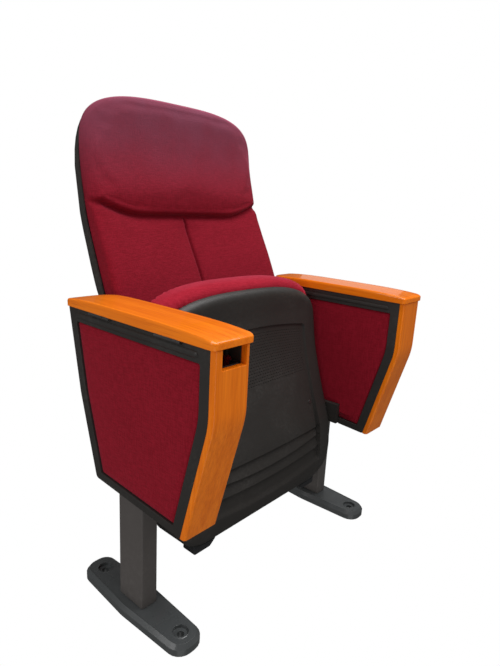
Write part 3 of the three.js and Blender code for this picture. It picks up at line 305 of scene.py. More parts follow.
@dataclass(frozen=True)
class LacqueredWood:
    """Orange brown stained wood under a clear gloss lacquer."""

    dark: Colour = (0.78, 0.160, 0.003, 1.0)
    light: Colour = (0.97, 0.235, 0.005, 1.0)
    pore: Colour = (0.42, 0.065, 0.002, 1.0)
    pore_depth: float = 0.00004
    fine_detail: float = 4.0
    fine_stir: float = 0.3
    wide_share: float = 0.16
    wide_detail: float = 3.0
    wide_stir: float = 1.1
    pore_scale: float = 3.4
    pore_detail: float = 1.0
    figure_shares: Range = (0.6, 0.5)
    figure_range: Range = (0.34, 0.74)
    dash_range: Range = (0.60, 0.72)
    dash_shares: Range = (0.0, 0.3)
    gloss_range: Range = (0.3, 0.7)
    roughness: Range = (0.3, 0.42)
    coat: float = 0.7
    coat_roughness: float = 0.07
    coat_ior: float = 1.5
    specular: float = 0.15

    def material(self, name: str, grain: Grain) -> bpy.types.Material:
        """Build the material.

        Args:
            name: Its name.
            grain: The grain's direction.

        Returns:
            The material.
        """
        graph = Graph(name)
        wider = graph.stretched([part * self.wide_share for part in grain.value])
        closer = graph.stretched([part * self.pore_scale for part in grain.value])
        fine = graph.cloud(graph.stretched(grain.value), 1.0, self.fine_detail, self.fine_stir)
        wide = graph.cloud(wider, 1.0, self.wide_detail, self.wide_stir)
        pores = graph.cloud(closer, 1.0, self.pore_detail)
        figure = graph.remap(graph.mixed((fine, wide), self.figure_shares), self.figure_range)
        colour = graph.tint(figure, self.dark, self.light)
        dashes = graph.remap(pores, self.dash_range, self.dash_shares)
        graph.dress(
            base_color=graph.tint(dashes, colour, self.pore), normal=graph.relief(fine, self.pore_depth),
            roughness=graph.remap(wide, self.gloss_range, self.roughness), coat_weight=self.coat,
            coat_roughness=self.coat_roughness, coat_ior=self.coat_ior, specular_ior_level=self.specular,
        )
        return graph.material


@dataclass(frozen=True)
class Coating:
    """A plain surface with fine relief, patchy gloss and a little wear: plastic, paint, rubber or nylon."""

    colour: Colour
    worn: Colour
    roughness: Range
    relief_scale: float
    relief_depth: float
    metallic: float = 0.0
    coat: float = 0.0
    coat_roughness: float = 0.12
    specular: float = 0.5
    streak: Triple = (1.0, 1.0, 1.0)
    relief_detail: float = 3.0
    patch_scale: float = 9.0
    patch_detail: float = 4.0
    patch_stir: float = 0.4
    patch_range: Range = (0.35, 0.8)
    scuff_share: float = 0.12
    scuff_detail: float = 5.0
    scuff_range: Range = (0.35, 0.75)
    gloss_shares: Range = (0.6, 0.4)
    gloss_range: Range = (0.3, 0.7)

    def material(self, name: str) -> bpy.types.Material:
        """Build the material under a name.

        Args:
            name: The material's name.

        Returns:
            The material.
        """
        graph = Graph(name)
        spot = graph.stretched(self.streak)
        grain = graph.cloud(spot, self.relief_scale, self.relief_detail)
        patches = graph.cloud(graph.place, self.patch_scale, self.patch_detail, self.patch_stir)
        scuffs = graph.cloud(spot, self.relief_scale * self.scuff_share, self.scuff_detail)
        wear = graph.maths(
            "MULTIPLY", graph.remap(patches, self.patch_range), graph.remap(scuffs, self.scuff_range),
        )
        gloss = graph.mixed((patches, scuffs), self.gloss_shares)
        graph.dress(
            base_color=graph.tint(wear, self.colour, self.worn), metallic=self.metallic,
            roughness=graph.remap(gloss, self.gloss_range, self.roughness),
            coat_weight=self.coat, coat_roughness=self.coat_roughness, specular_ior_level=self.specular,
            normal=graph.relief(grain, self.relief_depth),
        )
        return graph.material


@dataclass(frozen=True)
class Plywood:
    """Bare board of thin layers, seen on its edges."""

    pale: Colour = (0.52, 0.36, 0.19, 1.0)
    brown: Colour = (0.33, 0.19, 0.09, 1.0)
    layer: float = 0.0014
    layer_range: Range = (-0.3, 0.3)
    layer_shares: Range = (0.0, 0.5)
    grain_scale: Triple = (300.0, 300.0, 9.0)
    grain_detail: float = 3.0
    grain_share: float = 0.6
    grain_depth: float = 0.00015
    roughness: float = 0.7

    def material(self, name: str) -> bpy.types.Material:
        """Build the material under a name.

        Args:
            name: The material's name.

        Returns:
            The material.
        """
        graph = Graph(name)
        grain = graph.cloud(graph.stretched(self.grain_scale), 1.0, self.grain_detail)
        turns = math.tau / self.layer
        across = graph.maths("SINE", graph.maths("MULTIPLY", graph.axes(graph.place)[1], turns))
        layers = graph.remap(across, self.layer_range, self.layer_shares)
        share = graph.maths("ADD", graph.maths("MULTIPLY", grain, self.grain_share), layers)
        graph.dress(
            base_color=graph.tint(share, self.pale, self.brown), roughness=self.roughness,
            normal=graph.relief(grain, self.grain_depth),
        )
        return graph.material


def make_finishes() -> dict[str, bpy.types.Material]:
    """Build every finish of the seat.

    Returns:
        Each material under its slot's name, and the kinds that some pieces of a slot wear.
    """
    drawn = (1.0, 0.15, 1.0)
    coatings = {
        "moulded_plastic": Coating(
            (0.029, 0.0262, 0.024, 1.0), (0.049, 0.045, 0.0415, 1.0), (0.42, 0.56),
            relief_scale=1500.0, relief_depth=0.00006,
        ),
        "foot_paint": Coating(
            (0.064, 0.069, 0.071, 1.0), (0.090, 0.095, 0.097, 1.0), (0.24, 0.38),
            relief_scale=260.0, relief_depth=0.00010, coat=0.5,
        ),
        "post_paint": Coating(
            (0.090, 0.081, 0.077, 1.0), (0.112, 0.102, 0.097, 1.0), (0.40, 0.52),
            relief_scale=1100.0, relief_depth=0.00005,
        ),
        "plain_steel": Coating(
            (0.56, 0.56, 0.57, 1.0), (0.42, 0.41, 0.39, 1.0), (0.26, 0.44),
            relief_scale=420.0, relief_depth=0.00002, metallic=1.0, streak=drawn,
        ),
        "dull_steel": Coating(
            (0.22, 0.22, 0.22, 1.0), (0.15, 0.145, 0.14, 1.0), (0.40, 0.60),
            relief_scale=420.0, relief_depth=0.00003, metallic=1.0, streak=drawn,
        ),
        "rubber": Coating(
            (0.020, 0.021, 0.023, 1.0), (0.040, 0.041, 0.042, 1.0), (0.62, 0.80),
            relief_scale=700.0, relief_depth=0.00008, specular=0.35,
        ),
        "nylon": Coating(
            (0.66, 0.63, 0.55, 1.0), (0.56, 0.52, 0.44, 1.0), (0.34, 0.48),
            relief_scale=500.0, relief_depth=0.00003,
        ),
    }
    finishes = {name: coating.material(name) for name, coating in coatings.items()}
    finishes["red_fabric"] = WovenFabric().material("red_fabric")
    finishes["panel_fabric"] = WovenFabric(
        deep=(0.215, 0.0048, 0.0140, 1.0), bright=(0.300, 0.0085, 0.0225, 1.0),
    ).material("panel_fabric")
    # seat_fabric is a brighter copy of the same cloth: painted light for the cushion's upward-facing top roll
    finishes["seat_fabric"] = WovenFabric(
        deep=(0.300, 0.0090, 0.0230, 1.0), bright=(0.390, 0.0150, 0.0340, 1.0),
    ).material("seat_fabric")
    finishes["lacquered_wood"] = LacqueredWood().material("lacquered_wood", Grain.UPRIGHT)
    finishes["armrest_wood"] = LacqueredWood().material("armrest_wood", Grain.FORWARDS)
    finishes["plywood"] = Plywood().material("plywood")
    return finishes


def blend(low: float, high: float, value: float) -> float:
    """Return how far a value is from low to high, from 0 to 1, with soft ends."""
    share = min(max((value - low) / (high - low), 0.0), 1.0)
    return share * share * (3.0 - 2.0 * share)


def bulge(share: float, power: float) -> float:
    """Return the height of a superellipse of size 1 at a share of its half width."""
    return (1.0 - min(abs(share), 1.0) ** power) ** (1.0 / power)


def dip(distance: float, width: float) -> float:
    """Return a smooth hump that is 1 at no distance and fades over a width."""
    return math.exp(-((distance / width) ** 2))


def curve_through(points: Sequence[Range], at: float) -> float:
    """Return a smooth curve's value through points at a place along them.

    Args:
        points: Rising places and their values.
        at: The place.

    Returns:
        The value.
    """
    places = [point[0] for point in points]
    last = len(points) - 1
    step = min(max(bisect_right(places, at) - 1, 0), last - 1)
    (x1, y1), (x2, y2) = points[step], points[step + 1]
    x0, y0 = points[max(step - 1, 0)]
    x3, y3 = points[min(step + 2, last)]
    before = (y2 - y0) / (x2 - x0)
    after = (y3 - y1) / (x3 - x1)
    span = x2 - x1
    share = min(max((at - x1) / span, 0.0), 1.0)
    square, cube = share ** 2, share ** 3
    return (
        (2.0 * cube - 3.0 * square + 1.0) * y1 + (cube - 2.0 * square + share) * span * before
        + (3.0 * square - 2.0 * cube) * y2 + (cube - square) * span * after
    )


def shown(mesh: Mesh, name: str) -> Piece:
    """Use a mesh up for a new object of the scene.

    Args:
        mesh: The mesh.
        name: The object's name.

    Returns:
        The object.
    """
    data = bpy.data.meshes.new(name)
    mesh.to_mesh(data)
    mesh.free()
    made = bpy.data.objects.new(name, data)
    bpy.context.scene.collection.objects.link(made)
    return made


def applied(made: Piece) -> None:
    """Replace an object's mesh by what its modifiers make of it, and clear them.

    Args:
        made: The object.
    """
    graph = bpy.context.evaluated_depsgraph_get()
    data = bpy.data.meshes.new_from_object(made.evaluated_get(graph), depsgraph=graph)
    made.modifiers.clear()
    made.data = data


@dataclass(frozen=True)
class Outline:
    """A front outline: an arched top over upright sides, with round lower corners."""

    half: float
    low: float
    shoulder: float
    top: float
    arch_power: float
    corner_rise: float
    corner_power: float
    corner_from: float = 0.0
    samples: int = 720

    def points(self, inset: float) -> list[Range]:
        """Return points along the outline from the lowest right place to the highest, inset by a width.

        Args:
            inset: How far in the points lie.

        Returns:
            The points, across and up.
        """
        outer = []
        for step in range(self.samples + 1):
            angle = QUARTER * step / self.samples
            share = self.corner_from + (1.0 - self.corner_from) * math.sin(angle) ** (2.0 / self.corner_power)
            rise = 1.0 - math.cos(angle) ** (2.0 / self.corner_power)
            outer.append((self.half * share, self.low + self.corner_rise * rise))
        for step in range(self.samples + 1):
            angle = QUARTER * step / self.samples
            across = self.half * math.cos(angle) ** (2.0 / self.arch_power)
            rise = math.sin(angle) ** (2.0 / self.arch_power)
            outer.append((across, self.shoulder + (self.top - self.shoulder) * rise))
        moved = []
        for index, (x, z) in enumerate(outer):
            x0, z0 = outer[max(index - 1, 0)]
            x1, z1 = outer[min(index + 1, len(outer) - 1)]
            along = math.hypot(x1 - x0, z1 - z0) or 1.0
            moved.append((x - inset * (z1 - z0) / along, z + inset * (x1 - x0) / along))
        return moved

    def edges(self, inset: float) -> tuple[Line, Line]:
        """Return the lower and the upper edge's height at a place across, for an inset outline.

        Args:
            inset: How far in the outline lies.

        Returns:
            The lower and the upper edge's height.
        """
        line = self.points(inset)
        lower = sorted(line[:self.samples + 1])
        upper = sorted(line[self.samples + 1:])
        limit = self.half - inset

        def height(points: list[Range], x: float) -> float:
            """Return the height of a line of points at a place across.

            Args:
                points: The line, rising across.
                x: The place across.

            Returns:
                The height.
            """
            x = min(abs(x), limit)
            index = min(max(bisect_right(points, (x, math.inf)), 1), len(points) - 1)
            (x0, z0), (x1, z1) = points[index - 1], points[index]
            share = min(max((x - x0) / (x1 - x0), 0.0), 1.0) if x1 > x0 else 1.0
            return z0 + (z1 - z0) * share

        return lambda x: height(lower, x), lambda x: height(upper, x)


@dataclass(frozen=True)
class Spacing:
    """How densely a sheet's points stand.

    Attributes:
        flat_half: Half the width over which the columns stand evenly.
        pitch: The distance between even columns.
        margin_columns: Columns between the even ones and the edge.
        last_rows: Rows above the last guide.
        roll_steps: Rings in the roll.
        wall_rings: Rings along the side wall.
        fine: More columns on both sides of the middle, by their places.
        true_guides: Whether rows follow the guides out to the edge, or are drawn to the corners.
    """

    flat_half: float
    pitch: float
    margin_columns: int
    last_rows: int
    roll_steps: int
    wall_rings: int = 2
    fine: tuple[float, ...] = ()
    true_guides: bool = False


@dataclass
class Skin:
    """A sheet across an outline whose edge rolls over a radius into a side wall.

    Attributes:
        outline: The outer outline.
        face: The sheet's Y at a place across and a height.
        roll: The width of the rolled edge.
        drop: How deep the roll goes at a place across and a height, away from the face.
        spacing: How densely its points stand.
        guides: Heights at a place across that rows follow, rising, with the rows up to each one.
    """

    outline: Outline
    face: Surface
    roll: float
    drop: Surface
    spacing: Spacing
    guides: list[tuple[Line, int]]

    def __post_init__(self) -> None:
        """Work out the columns and the edges of the sheet inside the roll."""
        self.lower, self.upper = self.outline.edges(self.roll)
        flat, margin = self.spacing.flat_half, self.spacing.margin_columns
        inner = self.outline.half - self.roll
        count = round(flat / self.spacing.pitch)
        even = sorted([flat * step / count for step in range(count + 1)] + list(self.spacing.fine))
        rest = [flat + (inner - flat) * math.sin(QUARTER * step / margin) for step in range(1, margin + 1)]
        half = even + rest
        self.columns = [-x for x in reversed(half[1:])] + half

    def heights(self, x: float) -> list[float]:
        """Return the heights of a column's points from the lower to the upper edge.

        Args:
            x: The column's place across.

        Returns:
            The heights.
        """
        low, high = self.lower(x), self.upper(x)
        held = min(max(x, -self.spacing.flat_half), self.spacing.flat_half)
        held_low, held_high = self.lower(held), self.upper(held)
        stops = [(low, 0)]
        for guide, rows in self.guides:
            share = (guide(held) - held_low) / (held_high - held_low)
            stops.append((guide(x) if self.spacing.true_guides else low + (high - low) * share, rows))
        stops.append((high, self.spacing.last_rows))
        made = [low]
        for (start, _), (end, rows) in zip(stops, stops[1:]):
            made.extend(start + (end - start) * step / rows for step in range(1, rows + 1))
        return made

    def grid(self, mesh: Mesh, flip: bool = False,
             face: Surface | None = None) -> list[Points]:
        """Make the sheet inside the roll.

        Args:
            mesh: The mesh that it goes to.
            flip: Whether its faces look back.
            face: The sheet's Y, or the skin's own face.

        Returns:
            The points by row and column.
        """
        face = face or self.face
        lines = [self.heights(x) for x in self.columns]
        across, up = len(self.columns), len(lines[0])
        made = bmesh.ops.create_grid(mesh, x_segments=across - 1, y_segments=up - 1, size=1.0)["verts"]
        order = sorted(made, key=lambda vertex: (round(vertex.co.y, 5), vertex.co.x))
        rows = [order[row * across:(row + 1) * across] for row in range(up)]
        for row, line in enumerate(rows):
            for column, vertex in enumerate(line):
                x, z = self.columns[column], lines[column][row]
                vertex.co = Vector((x, face(x, z), z))
        if flip:
            bmesh.ops.reverse_faces(mesh, faces=list({face for vertex in made for face in vertex.link_faces}))
        return rows

    def border(self, rows: list[Points]) -> Points:
        """Return the sheet's outer points in order round it.

        Args:
            rows: The sheet's points by row and column.

        Returns:
            The outer points.
        """
        right = [row[-1] for row in rows[1:-1]]
        left = [row[0] for row in rows[-2:0:-1]]
        return rows[0] + right + rows[-1][::-1] + left

    def outwards(self, loop: Points) -> list[Vector]:
        """Return how each point of a border moves out for each metre of growth.

        Args:
            loop: The border's points in order.

        Returns:
            The move of each point.
        """
        ways = []
        count = len(loop)
        for index, vertex in enumerate(loop):
            both = Vector()
            for first, second in ((loop[index - 1], vertex), (vertex, loop[(index + 1) % count])):
                step = second.co - first.co
                both += Vector((step.z, 0.0, -step.x)).normalized()
            ways.append(both * (2.0 / both.length_squared))
        return ways

    def ring(self, mesh: Mesh, places: Sequence[Vector],
             before: Points) -> Points:
        """Add a ring of points and join it to the one before it.

        Args:
            mesh: The mesh.
            places: Where the points stand.
            before: The ring before it.

        Returns:
            The ring's points.
        """
        made = [mesh.verts.new(place) for place in places]
        for index in range(len(made)):
            after = (index + 1) % len(made)
            mesh.faces.new((before[index], made[index], made[after], before[after]))
        return made

    def rolled(self, mesh: Mesh, loop: Points,
               wall: Surface) -> tuple[Points, list[Vector]]:
        """Roll the edge over and run the side wall from it.

        Args:
            mesh: The mesh.
            loop: The sheet's border.
            wall: The Y where the wall ends at a place across and a height.

        Returns:
            The last ring and how each point of a border moves out.
        """
        ways = self.outwards(loop)
        starts = [vertex.co.copy() for vertex in loop]
        last = loop
        for step in range(1, self.spacing.roll_steps + 1):
            angle = QUARTER * step / self.spacing.roll_steps
            places = []
            for start, way in zip(starts, ways):
                place = start + way * (self.roll * math.sin(angle))
                deep = self.drop(place.x, place.z) * (1.0 - math.cos(angle))
                places.append(Vector((place.x, self.face(place.x, place.z) + deep, place.z)))
            last = self.ring(mesh, places, last)
        edge = [vertex.co.copy() for vertex in last]
        for step in range(1, self.spacing.wall_rings + 1):
            share = step / self.spacing.wall_rings
            places = []
            for place in edge:
                end = wall(place.x, place.z)
                places.append(Vector((place.x, place.y + (end - place.y) * share, place.z)))
            last = self.ring(mesh, places, last)
        return last, ways


@dataclass(frozen=True)
class BackLine:
    """The backrest's main line: it leans back, then bends upright on an arc."""

    bend_height: float = 0.690
    bend_y: float = 0.214
    radius: float = 0.540
    recline_degrees: float = 22.3

    def at(self, z: float) -> float:
        """Return the line's Y at a height.

        Args:
            z: The height.

        Returns:
            The line's Y.
        """
        recline = math.radians(self.recline_degrees)
        rise = z - self.bend_height
        if rise < 0.0:
            return DATUM_Y + self.bend_y + rise * math.tan(recline)
        lean = math.sin(recline) - rise / self.radius
        return DATUM_Y + self.bend_y + self.radius * (math.sqrt(1.0 - lean ** 2) - math.cos(recline))


@dataclass
class Workshop:
    """Turns meshes into dressed pieces that ride on the right bodies."""

    frame: dict
    finishes: dict[str, bpy.types.Material]
    weld: float = 0.000005
    flat_degrees: float = 0.6
    corner_degrees: float = 33.0

    def __post_init__(self) -> None:
        """Read each node's slot and body from the record."""
        record = self.frame["record"]
        self.slots = {part["node"]: part["material_slot"] for part in record["subparts"]}
        bodies = record["behaviour"]["bodies"]
        self.bodies = {node: body for body, nodes in bodies.items() for node in nodes}

    def solid(self, node: str) -> Mesh:
        """Return a merged copy of a CAD node's mesh with its flat faces made whole.

        Args:
            node: The CAD node.

        Returns:
            The mesh.
        """
        mesh = bmesh.new()
        mesh.from_mesh(self.frame["nodes"][node].data)
        bmesh.ops.remove_doubles(mesh, verts=mesh.verts, dist=self.weld)
        bmesh.ops.dissolve_limit(
            mesh, angle_limit=math.radians(self.flat_degrees), verts=mesh.verts, edges=mesh.edges,
        )
        return mesh

    def dress(self, made: Piece, node: str, finish: str | None = None) -> None:
        """Give a piece its finish and its body, and let it stand for a node.

        Args:
            made: The piece.
            node: The CAD node.
            finish: The finish, or the slot's own.
        """
        made.data.materials.append(self.finishes[finish or self.slots[node]])
        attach(made, self.bodies[node])
        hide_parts(node)
        LOG.info("%s: %d faces", made.name, len(made.data.polygons))

    def place(self, mesh: Mesh, node: str, word: str, finish: str | None = None,
              even: bool = True) -> Piece:
        """Make a finished piece that stands for a node.

        Args:
            mesh: Its mesh, which is used up.
            node: The CAD node that it stands for.
            word: What the piece is, the last word of its name.
            finish: The finish, or the slot's own.
            even: Whether flat faces keep even shading beside their round edges.

        Returns:
            The piece.
        """
        made = shown(mesh, f"{node}_{word}")
        made.data.polygons.foreach_set("use_smooth", [True] * len(made.data.polygons))
        made.data.set_sharp_from_angle(angle=math.radians(self.corner_degrees))
        if even:
            made.modifiers.new("even_faces", "WEIGHTED_NORMAL").keep_sharp = True
        self.dress(made, node, finish)
        return made

    def bevel(self, mesh: Mesh, edges: list[bmesh.types.BMEdge], radius: float, segments: int,
              clamped: bool = True) -> None:
        """Round some edges of a mesh.

        Args:
            mesh: The mesh.
            edges: The edges.
            radius: The radius.
            segments: Steps in the round.
            clamped: Whether rounds stop where they would meet.
        """
        bmesh.ops.bevel(
            mesh, geom=edges, offset=radius, offset_type="OFFSET", segments=segments, profile=0.5,
            affect="EDGES", clamp_overlap=clamped, material=-1,
        )

    def round_edges(self, mesh: Mesh, radius: float, segments: int) -> None:
        """Round the outer corners of a mesh by a radius in a few steps.

        Args:
            mesh: The mesh.
            radius: The radius.
            segments: Steps in the round.
        """
        limit = math.radians(self.corner_degrees)
        edges = [edge for edge in mesh.edges if edge.is_manifold and edge.calc_face_angle_signed() > limit]
        self.bevel(mesh, edges, radius, segments)

    def rounded(self, nodes: Sequence[str], radius: float, word: str, segments: int = MEDIUM,
                finish: str | None = None) -> None:
        """Dress CAD nodes as copies with round edges.

        Args:
            nodes: The nodes.
            radius: The edge radius.
            word: The last word of each piece's name.
            segments: Steps in the round.
            finish: The finish, or the slot's own.
        """
        for node in nodes:
            mesh = self.solid(node)
            self.round_edges(mesh, radius, segments)
            self.place(mesh, node, word, finish)


def sides(word: str) -> list[str]:
    """Return the left and the right node of a name."""
    return [f"{side}_{word}" for side in SIDES.values()]


@dataclass
class Standards:
    """Both standards: foot casting, post and the side plate inside the arm box."""

    shop: Workshop
    foot_edge: float = 0.0016
    foot_lip: float = 0.0022
    foot_lip_height: float = 0.0012
    flat_normal: float = 0.99
    post_edge: float = 0.0008
    plate_edge: float = 0.0005

    def build(self) -> None:
        """Build and dress both standards."""
        for node in sides("foot"):
            self.foot(node)
        self.shop.rounded(sides("post"), self.post_edge, "tube")
        self.shop.rounded(sides("side_plate"), self.plate_edge, "pressing", COARSE)

    def foot(self, node: str) -> None:
        """Cast a foot: a raised lip runs round its top face and round the anchor recesses.

        Args:
            node: The foot's node.
        """
        mesh = self.shop.solid(node)
        top = max(vertex.co.z for vertex in mesh.verts)
        faces = [
            face for face in mesh.faces
            if face.normal.z > self.flat_normal and face.calc_center_median().z > top - self.foot_lip_height
        ]
        bmesh.ops.inset_region(
            mesh, faces=faces, thickness=self.foot_lip, depth=-self.foot_lip_height, use_even_offset=True,
        )
        self.shop.round_edges(mesh, self.foot_edge, MEDIUM)
        self.shop.place(mesh, node, "casting")


@dataclass
class Armrest:
    """An armrest's body as a stack of rings, from the underside to the middle of the top.

    Attributes:
        low: The low corner of its box.
        high: The high corner of its box.
        side: Its side.
    """

    low: Vector
    high: Vector
    side: int
    round_down: float = 0.006
    side_round: float = 0.0024
    front_round: float = 0.0090
    rear_round: float = 0.0040
    bottom_round: float = 0.0012
    corner: float = 0.007
    rear_inner_corner: float = 0.044
    end_dip: float = 0.006
    least_share: float = 0.125
    corner_points: int = 9
    side_points: int = 40
    round_steps: int = 7
    top_rings: tuple[float, ...] = (0.004, 0.010, 0.018, 0.028)

    def ring(self, side_in: float, front_in: float, rear_in: float) -> list[Range]:
        """Return an outline drawn in from the sides, the front and the rear.

        Args:
            side_in: How far in the sides lie.
            front_in: How far in the front lies.
            rear_in: How far in the rear lies.

        Returns:
            The outline's points.
        """
        inner = -self.side
        left = self.low.x + side_in
        right = self.high.x - side_in
        front = self.low.y + front_in
        rear = self.high.y - rear_in
        least = side_in * self.least_share
        near = max(self.corner - side_in, least)
        wide = max(self.rear_inner_corner - side_in, least)
        radii = {way: wide if way == inner else near for way in SIDES}
        corners = [
            (left, front, near, math.pi), (right, front, near, -QUARTER),
            (right, rear, radii[RIGHT], 0.0), (left, rear, radii[LEFT], QUARTER),
        ]
        points = []
        for x, y, radius, start in corners:
            centre_x = x + (radius if x == left else -radius)
            centre_y = y + (radius if y == front else -radius)
            for step in range(self.corner_points):
                angle = start + QUARTER * step / (self.corner_points - 1)
                points.append((centre_x + radius * math.cos(angle), centre_y + radius * math.sin(angle)))
        return self.spread(points)

    def spread(self, points: list[Range]) -> list[Range]:
        """Put even points on the long sides, between the second and third and the last and first corner.

        Args:
            points: The outline's corner points.

        Returns:
            The points with those between them.
        """
        made = []
        for index, (x, y) in enumerate(points):
            made.append((x, y))
            if index in (2 * self.corner_points - 1, 4 * self.corner_points - 1):
                after = points[(index + 1) % len(points)]
                for step in range(1, self.side_points):
                    share = step / self.side_points
                    made.append((x + (after[0] - x) * share, y + (after[1] - y) * share))
        return made

    def mesh(self) -> Mesh:
        """Return the armrest's mesh.

        Returns:
            The mesh.
        """
        thickness = self.high.z - self.low.z
        low_round = self.bottom_round
        layers = [(low_round, low_round, low_round, 0.0), (0.0, 0.0, 0.0, low_round)]
        for step in range(self.round_steps + 1):
            angle = QUARTER * step / self.round_steps
            share = 1.0 - math.cos(angle)
            layers.append((
                self.side_round * share, self.front_round * share, self.rear_round * share,
                thickness - self.round_down + self.round_down * math.sin(angle),
            ))
        for drawn in self.top_rings:
            layers.append((
                self.side_round + drawn, self.front_round + drawn, self.rear_round + drawn, thickness,
            ))
        mesh = bmesh.new()
        before = None
        for *drawn_in, height in layers:
            ring = [mesh.verts.new(self.dipped(x, y, height)) for x, y in self.ring(*drawn_in)]
            if before is None:
                mesh.faces.new(ring[::-1])
            else:
                for index in range(len(ring)):
                    after = (index + 1) % len(ring)
                    mesh.faces.new((before[index], before[after], ring[after], ring[index]))
            before = ring
        self.capped(mesh, before)
        return mesh

    def capped(self, mesh: Mesh, ring: Points) -> None:
        """Close the top across from side to side.

        Args:
            mesh: The mesh.
            ring: The last ring.
        """
        count = len(ring)
        first = 2 * self.corner_points - 1
        right = [ring[(first + step) % count] for step in range(self.side_points + 1)]
        last = (4 * self.corner_points - 1) + self.side_points - 1
        left = [ring[(last + step) % count] for step in range(self.side_points + 1)][::-1]
        for step in range(self.side_points):
            mesh.faces.new((left[step], right[step], right[step + 1], left[step + 1]))
        for end in (ring[:first + 1], ring[first + self.side_points:last + 1]):
            bmesh.ops.contextual_create(mesh, geom=end)

    def dipped(self, x: float, y: float, height: float) -> Vector:
        """Return a point of the armrest, lower towards both ends.

        Args:
            x: The place across.
            y: The place from front to back.
            height: The height over the underside.

        Returns:
            The point.
        """
        middle = (self.low.y + self.high.y) / 2.0
        share = (y - middle) / ((self.high.y - self.low.y) / 2.0)
        full = self.high.z - self.low.z
        return Vector((x, y, self.low.z + height - self.end_dip * share ** 4 * height / full))


@dataclass
class ArmBoxes:
    """Both arm boxes: moulded casings, fabric covered panels, wooden fascias and armrests."""

    shop: Workshop
    casing_edge: float = 0.0011
    hair: float = 0.0002
    fascia_edge: float = 0.0011
    panel_rim: float = 0.0035
    panel_round: float = 0.0018
    slant_from: float = 0.5
    slant_to: float = 1.1

    def build(self) -> None:
        """Build and dress both arm boxes."""
        for face in ("outer", "inner"):
            for side, word in SIDES.items():
                self.shop.rounded([f"{word}_{face}_casing"], self.casing_edge, "moulding")
                outwards = side if face == "outer" else -side
                self.panel(f"{word}_{face}_panel", outwards)
        self.shop.rounded(sides("fascia"), self.fascia_edge, "board")
        for side, word in SIDES.items():
            self.armrest(f"{word}_armrest", side)

    def panel(self, node: str, way: int) -> None:
        """Round the fabric over the edges of a covered panel.

        Args:
            node: The panel's node.
            way: The sign of X that its shown face looks at.
        """
        mesh = self.shop.solid(node)
        face_at = max(way * vertex.co.x for vertex in mesh.verts)
        rim = [
            edge for edge in mesh.edges
            if all(way * vertex.co.x > face_at - self.panel_rim for vertex in edge.verts)
            and edge.is_manifold
            and self.slant_from < edge.calc_face_angle_signed() < self.slant_to
        ]
        self.shop.bevel(mesh, rim, self.panel_round, MEDIUM, False)
        self.shop.place(mesh, node, "upholstery", "panel_fabric")

    def armrest(self, node: str, side: int) -> None:
        """Shape an armrest: square sides, a fine round along the top, softer ends that dip.

        Args:
            node: The armrest's node.
            side: Its side.
        """
        low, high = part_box(node)
        shape = Armrest(low + Vector((0.0, 0.0, self.hair)), high, side)
        self.shop.place(shape.mesh(), node, "board", "armrest_wood", even=False)


@dataclass
class LidHinges:
    """Butt hinges of the left lid."""

    shop: Workshop
    edge: float = 0.0003

    def build(self) -> None:
        """Dress the leaves and pins."""
        for end in ("front", "rear"):
            nodes = [f"left_{end}_{word}" for word in ("casing_hinge_leaf", "lid_hinge_leaf", "hinge_pin")]
            self.shop.rounded(nodes, self.edge, "part", COARSE, "dull_steel")


@dataclass
class WritingTablet:
    """The stowed tablet with its arm, block and pin."""

    shop: Workshop
    tablet_edge: float = 0.0040
    fitting_edge: float = 0.0008

    def build(self) -> None:
        """Dress the tablet and its fittings."""
        fittings = ("left_tablet_arm", "left_tablet_hinge_block", "left_tablet_pin")
        self.shop.rounded(["left_writing_tablet"], self.tablet_edge, "board", FINE)
        self.shop.rounded(fittings, self.fitting_edge, "part", COARSE)


@dataclass
class Pivots:
    """Both seat pivots: housing, shaft, bush, stop cam and return spring."""

    shop: Workshop
    housing_edge: float = 0.0025
    turned_edge: float = 0.0004

    def build(self) -> None:
        """Dress the pivots."""
        self.shop.rounded(sides("pivot_housing"), self.housing_edge, "casting")
        for word in ("pivot_shaft", "pivot_bush", "stop_cam"):
            self.shop.rounded(sides(word), self.turned_edge, "part", COARSE)
        for node in sides("return_spring"):
            self.shop.place(self.shop.solid(node), node, "coil")


@dataclass
class SeatPan:
    """The tipping seat's inner and small parts: board, frame, buffers and screws."""

    shop: Workshop
    board_edge: float = 0.0015
    frame_edge: float = 0.0006
    buffer_edge: float = 0.0020
    screw_edge: float = 0.0004

    def build(self) -> None:
        """Dress the board, frame, buffers and screws."""
        self.shop.rounded(["seat_board"], self.board_edge, "pressing")
        self.shop.rounded(["seat_frame"], self.frame_edge, "weldment", COARSE)
        self.shop.rounded(sides("seat_buffer"), self.buffer_edge, "moulding", FINE)
        self.shop.rounded(sides("seat_screw"), self.screw_edge, "part", COARSE, "dull_steel")


@dataclass
class BackRest:
    """The backrest's board, brackets and fasteners, and the right armrest's screws."""

    shop: Workshop
    board_edge: float = 0.0010
    bracket_edge: float = 0.0008
    fastener_edge: float = 0.0004

    def build(self) -> None:
        """Dress the board, brackets and fasteners."""
        self.shop.rounded(["back_board"], self.board_edge, "panel")
        self.shop.rounded(sides("back_bracket"), self.bracket_edge, "pressing", COARSE)
        for word in ("back_screw", "lower_bracket_bolt", "upper_bracket_bolt"):
            self.shop.rounded(sides(word), self.fastener_edge, "part", COARSE)
        screws = ("right_front_armrest_screw", "right_rear_armrest_screw")
        self.shop.rounded(screws, self.fastener_edge, "part", COARSE)


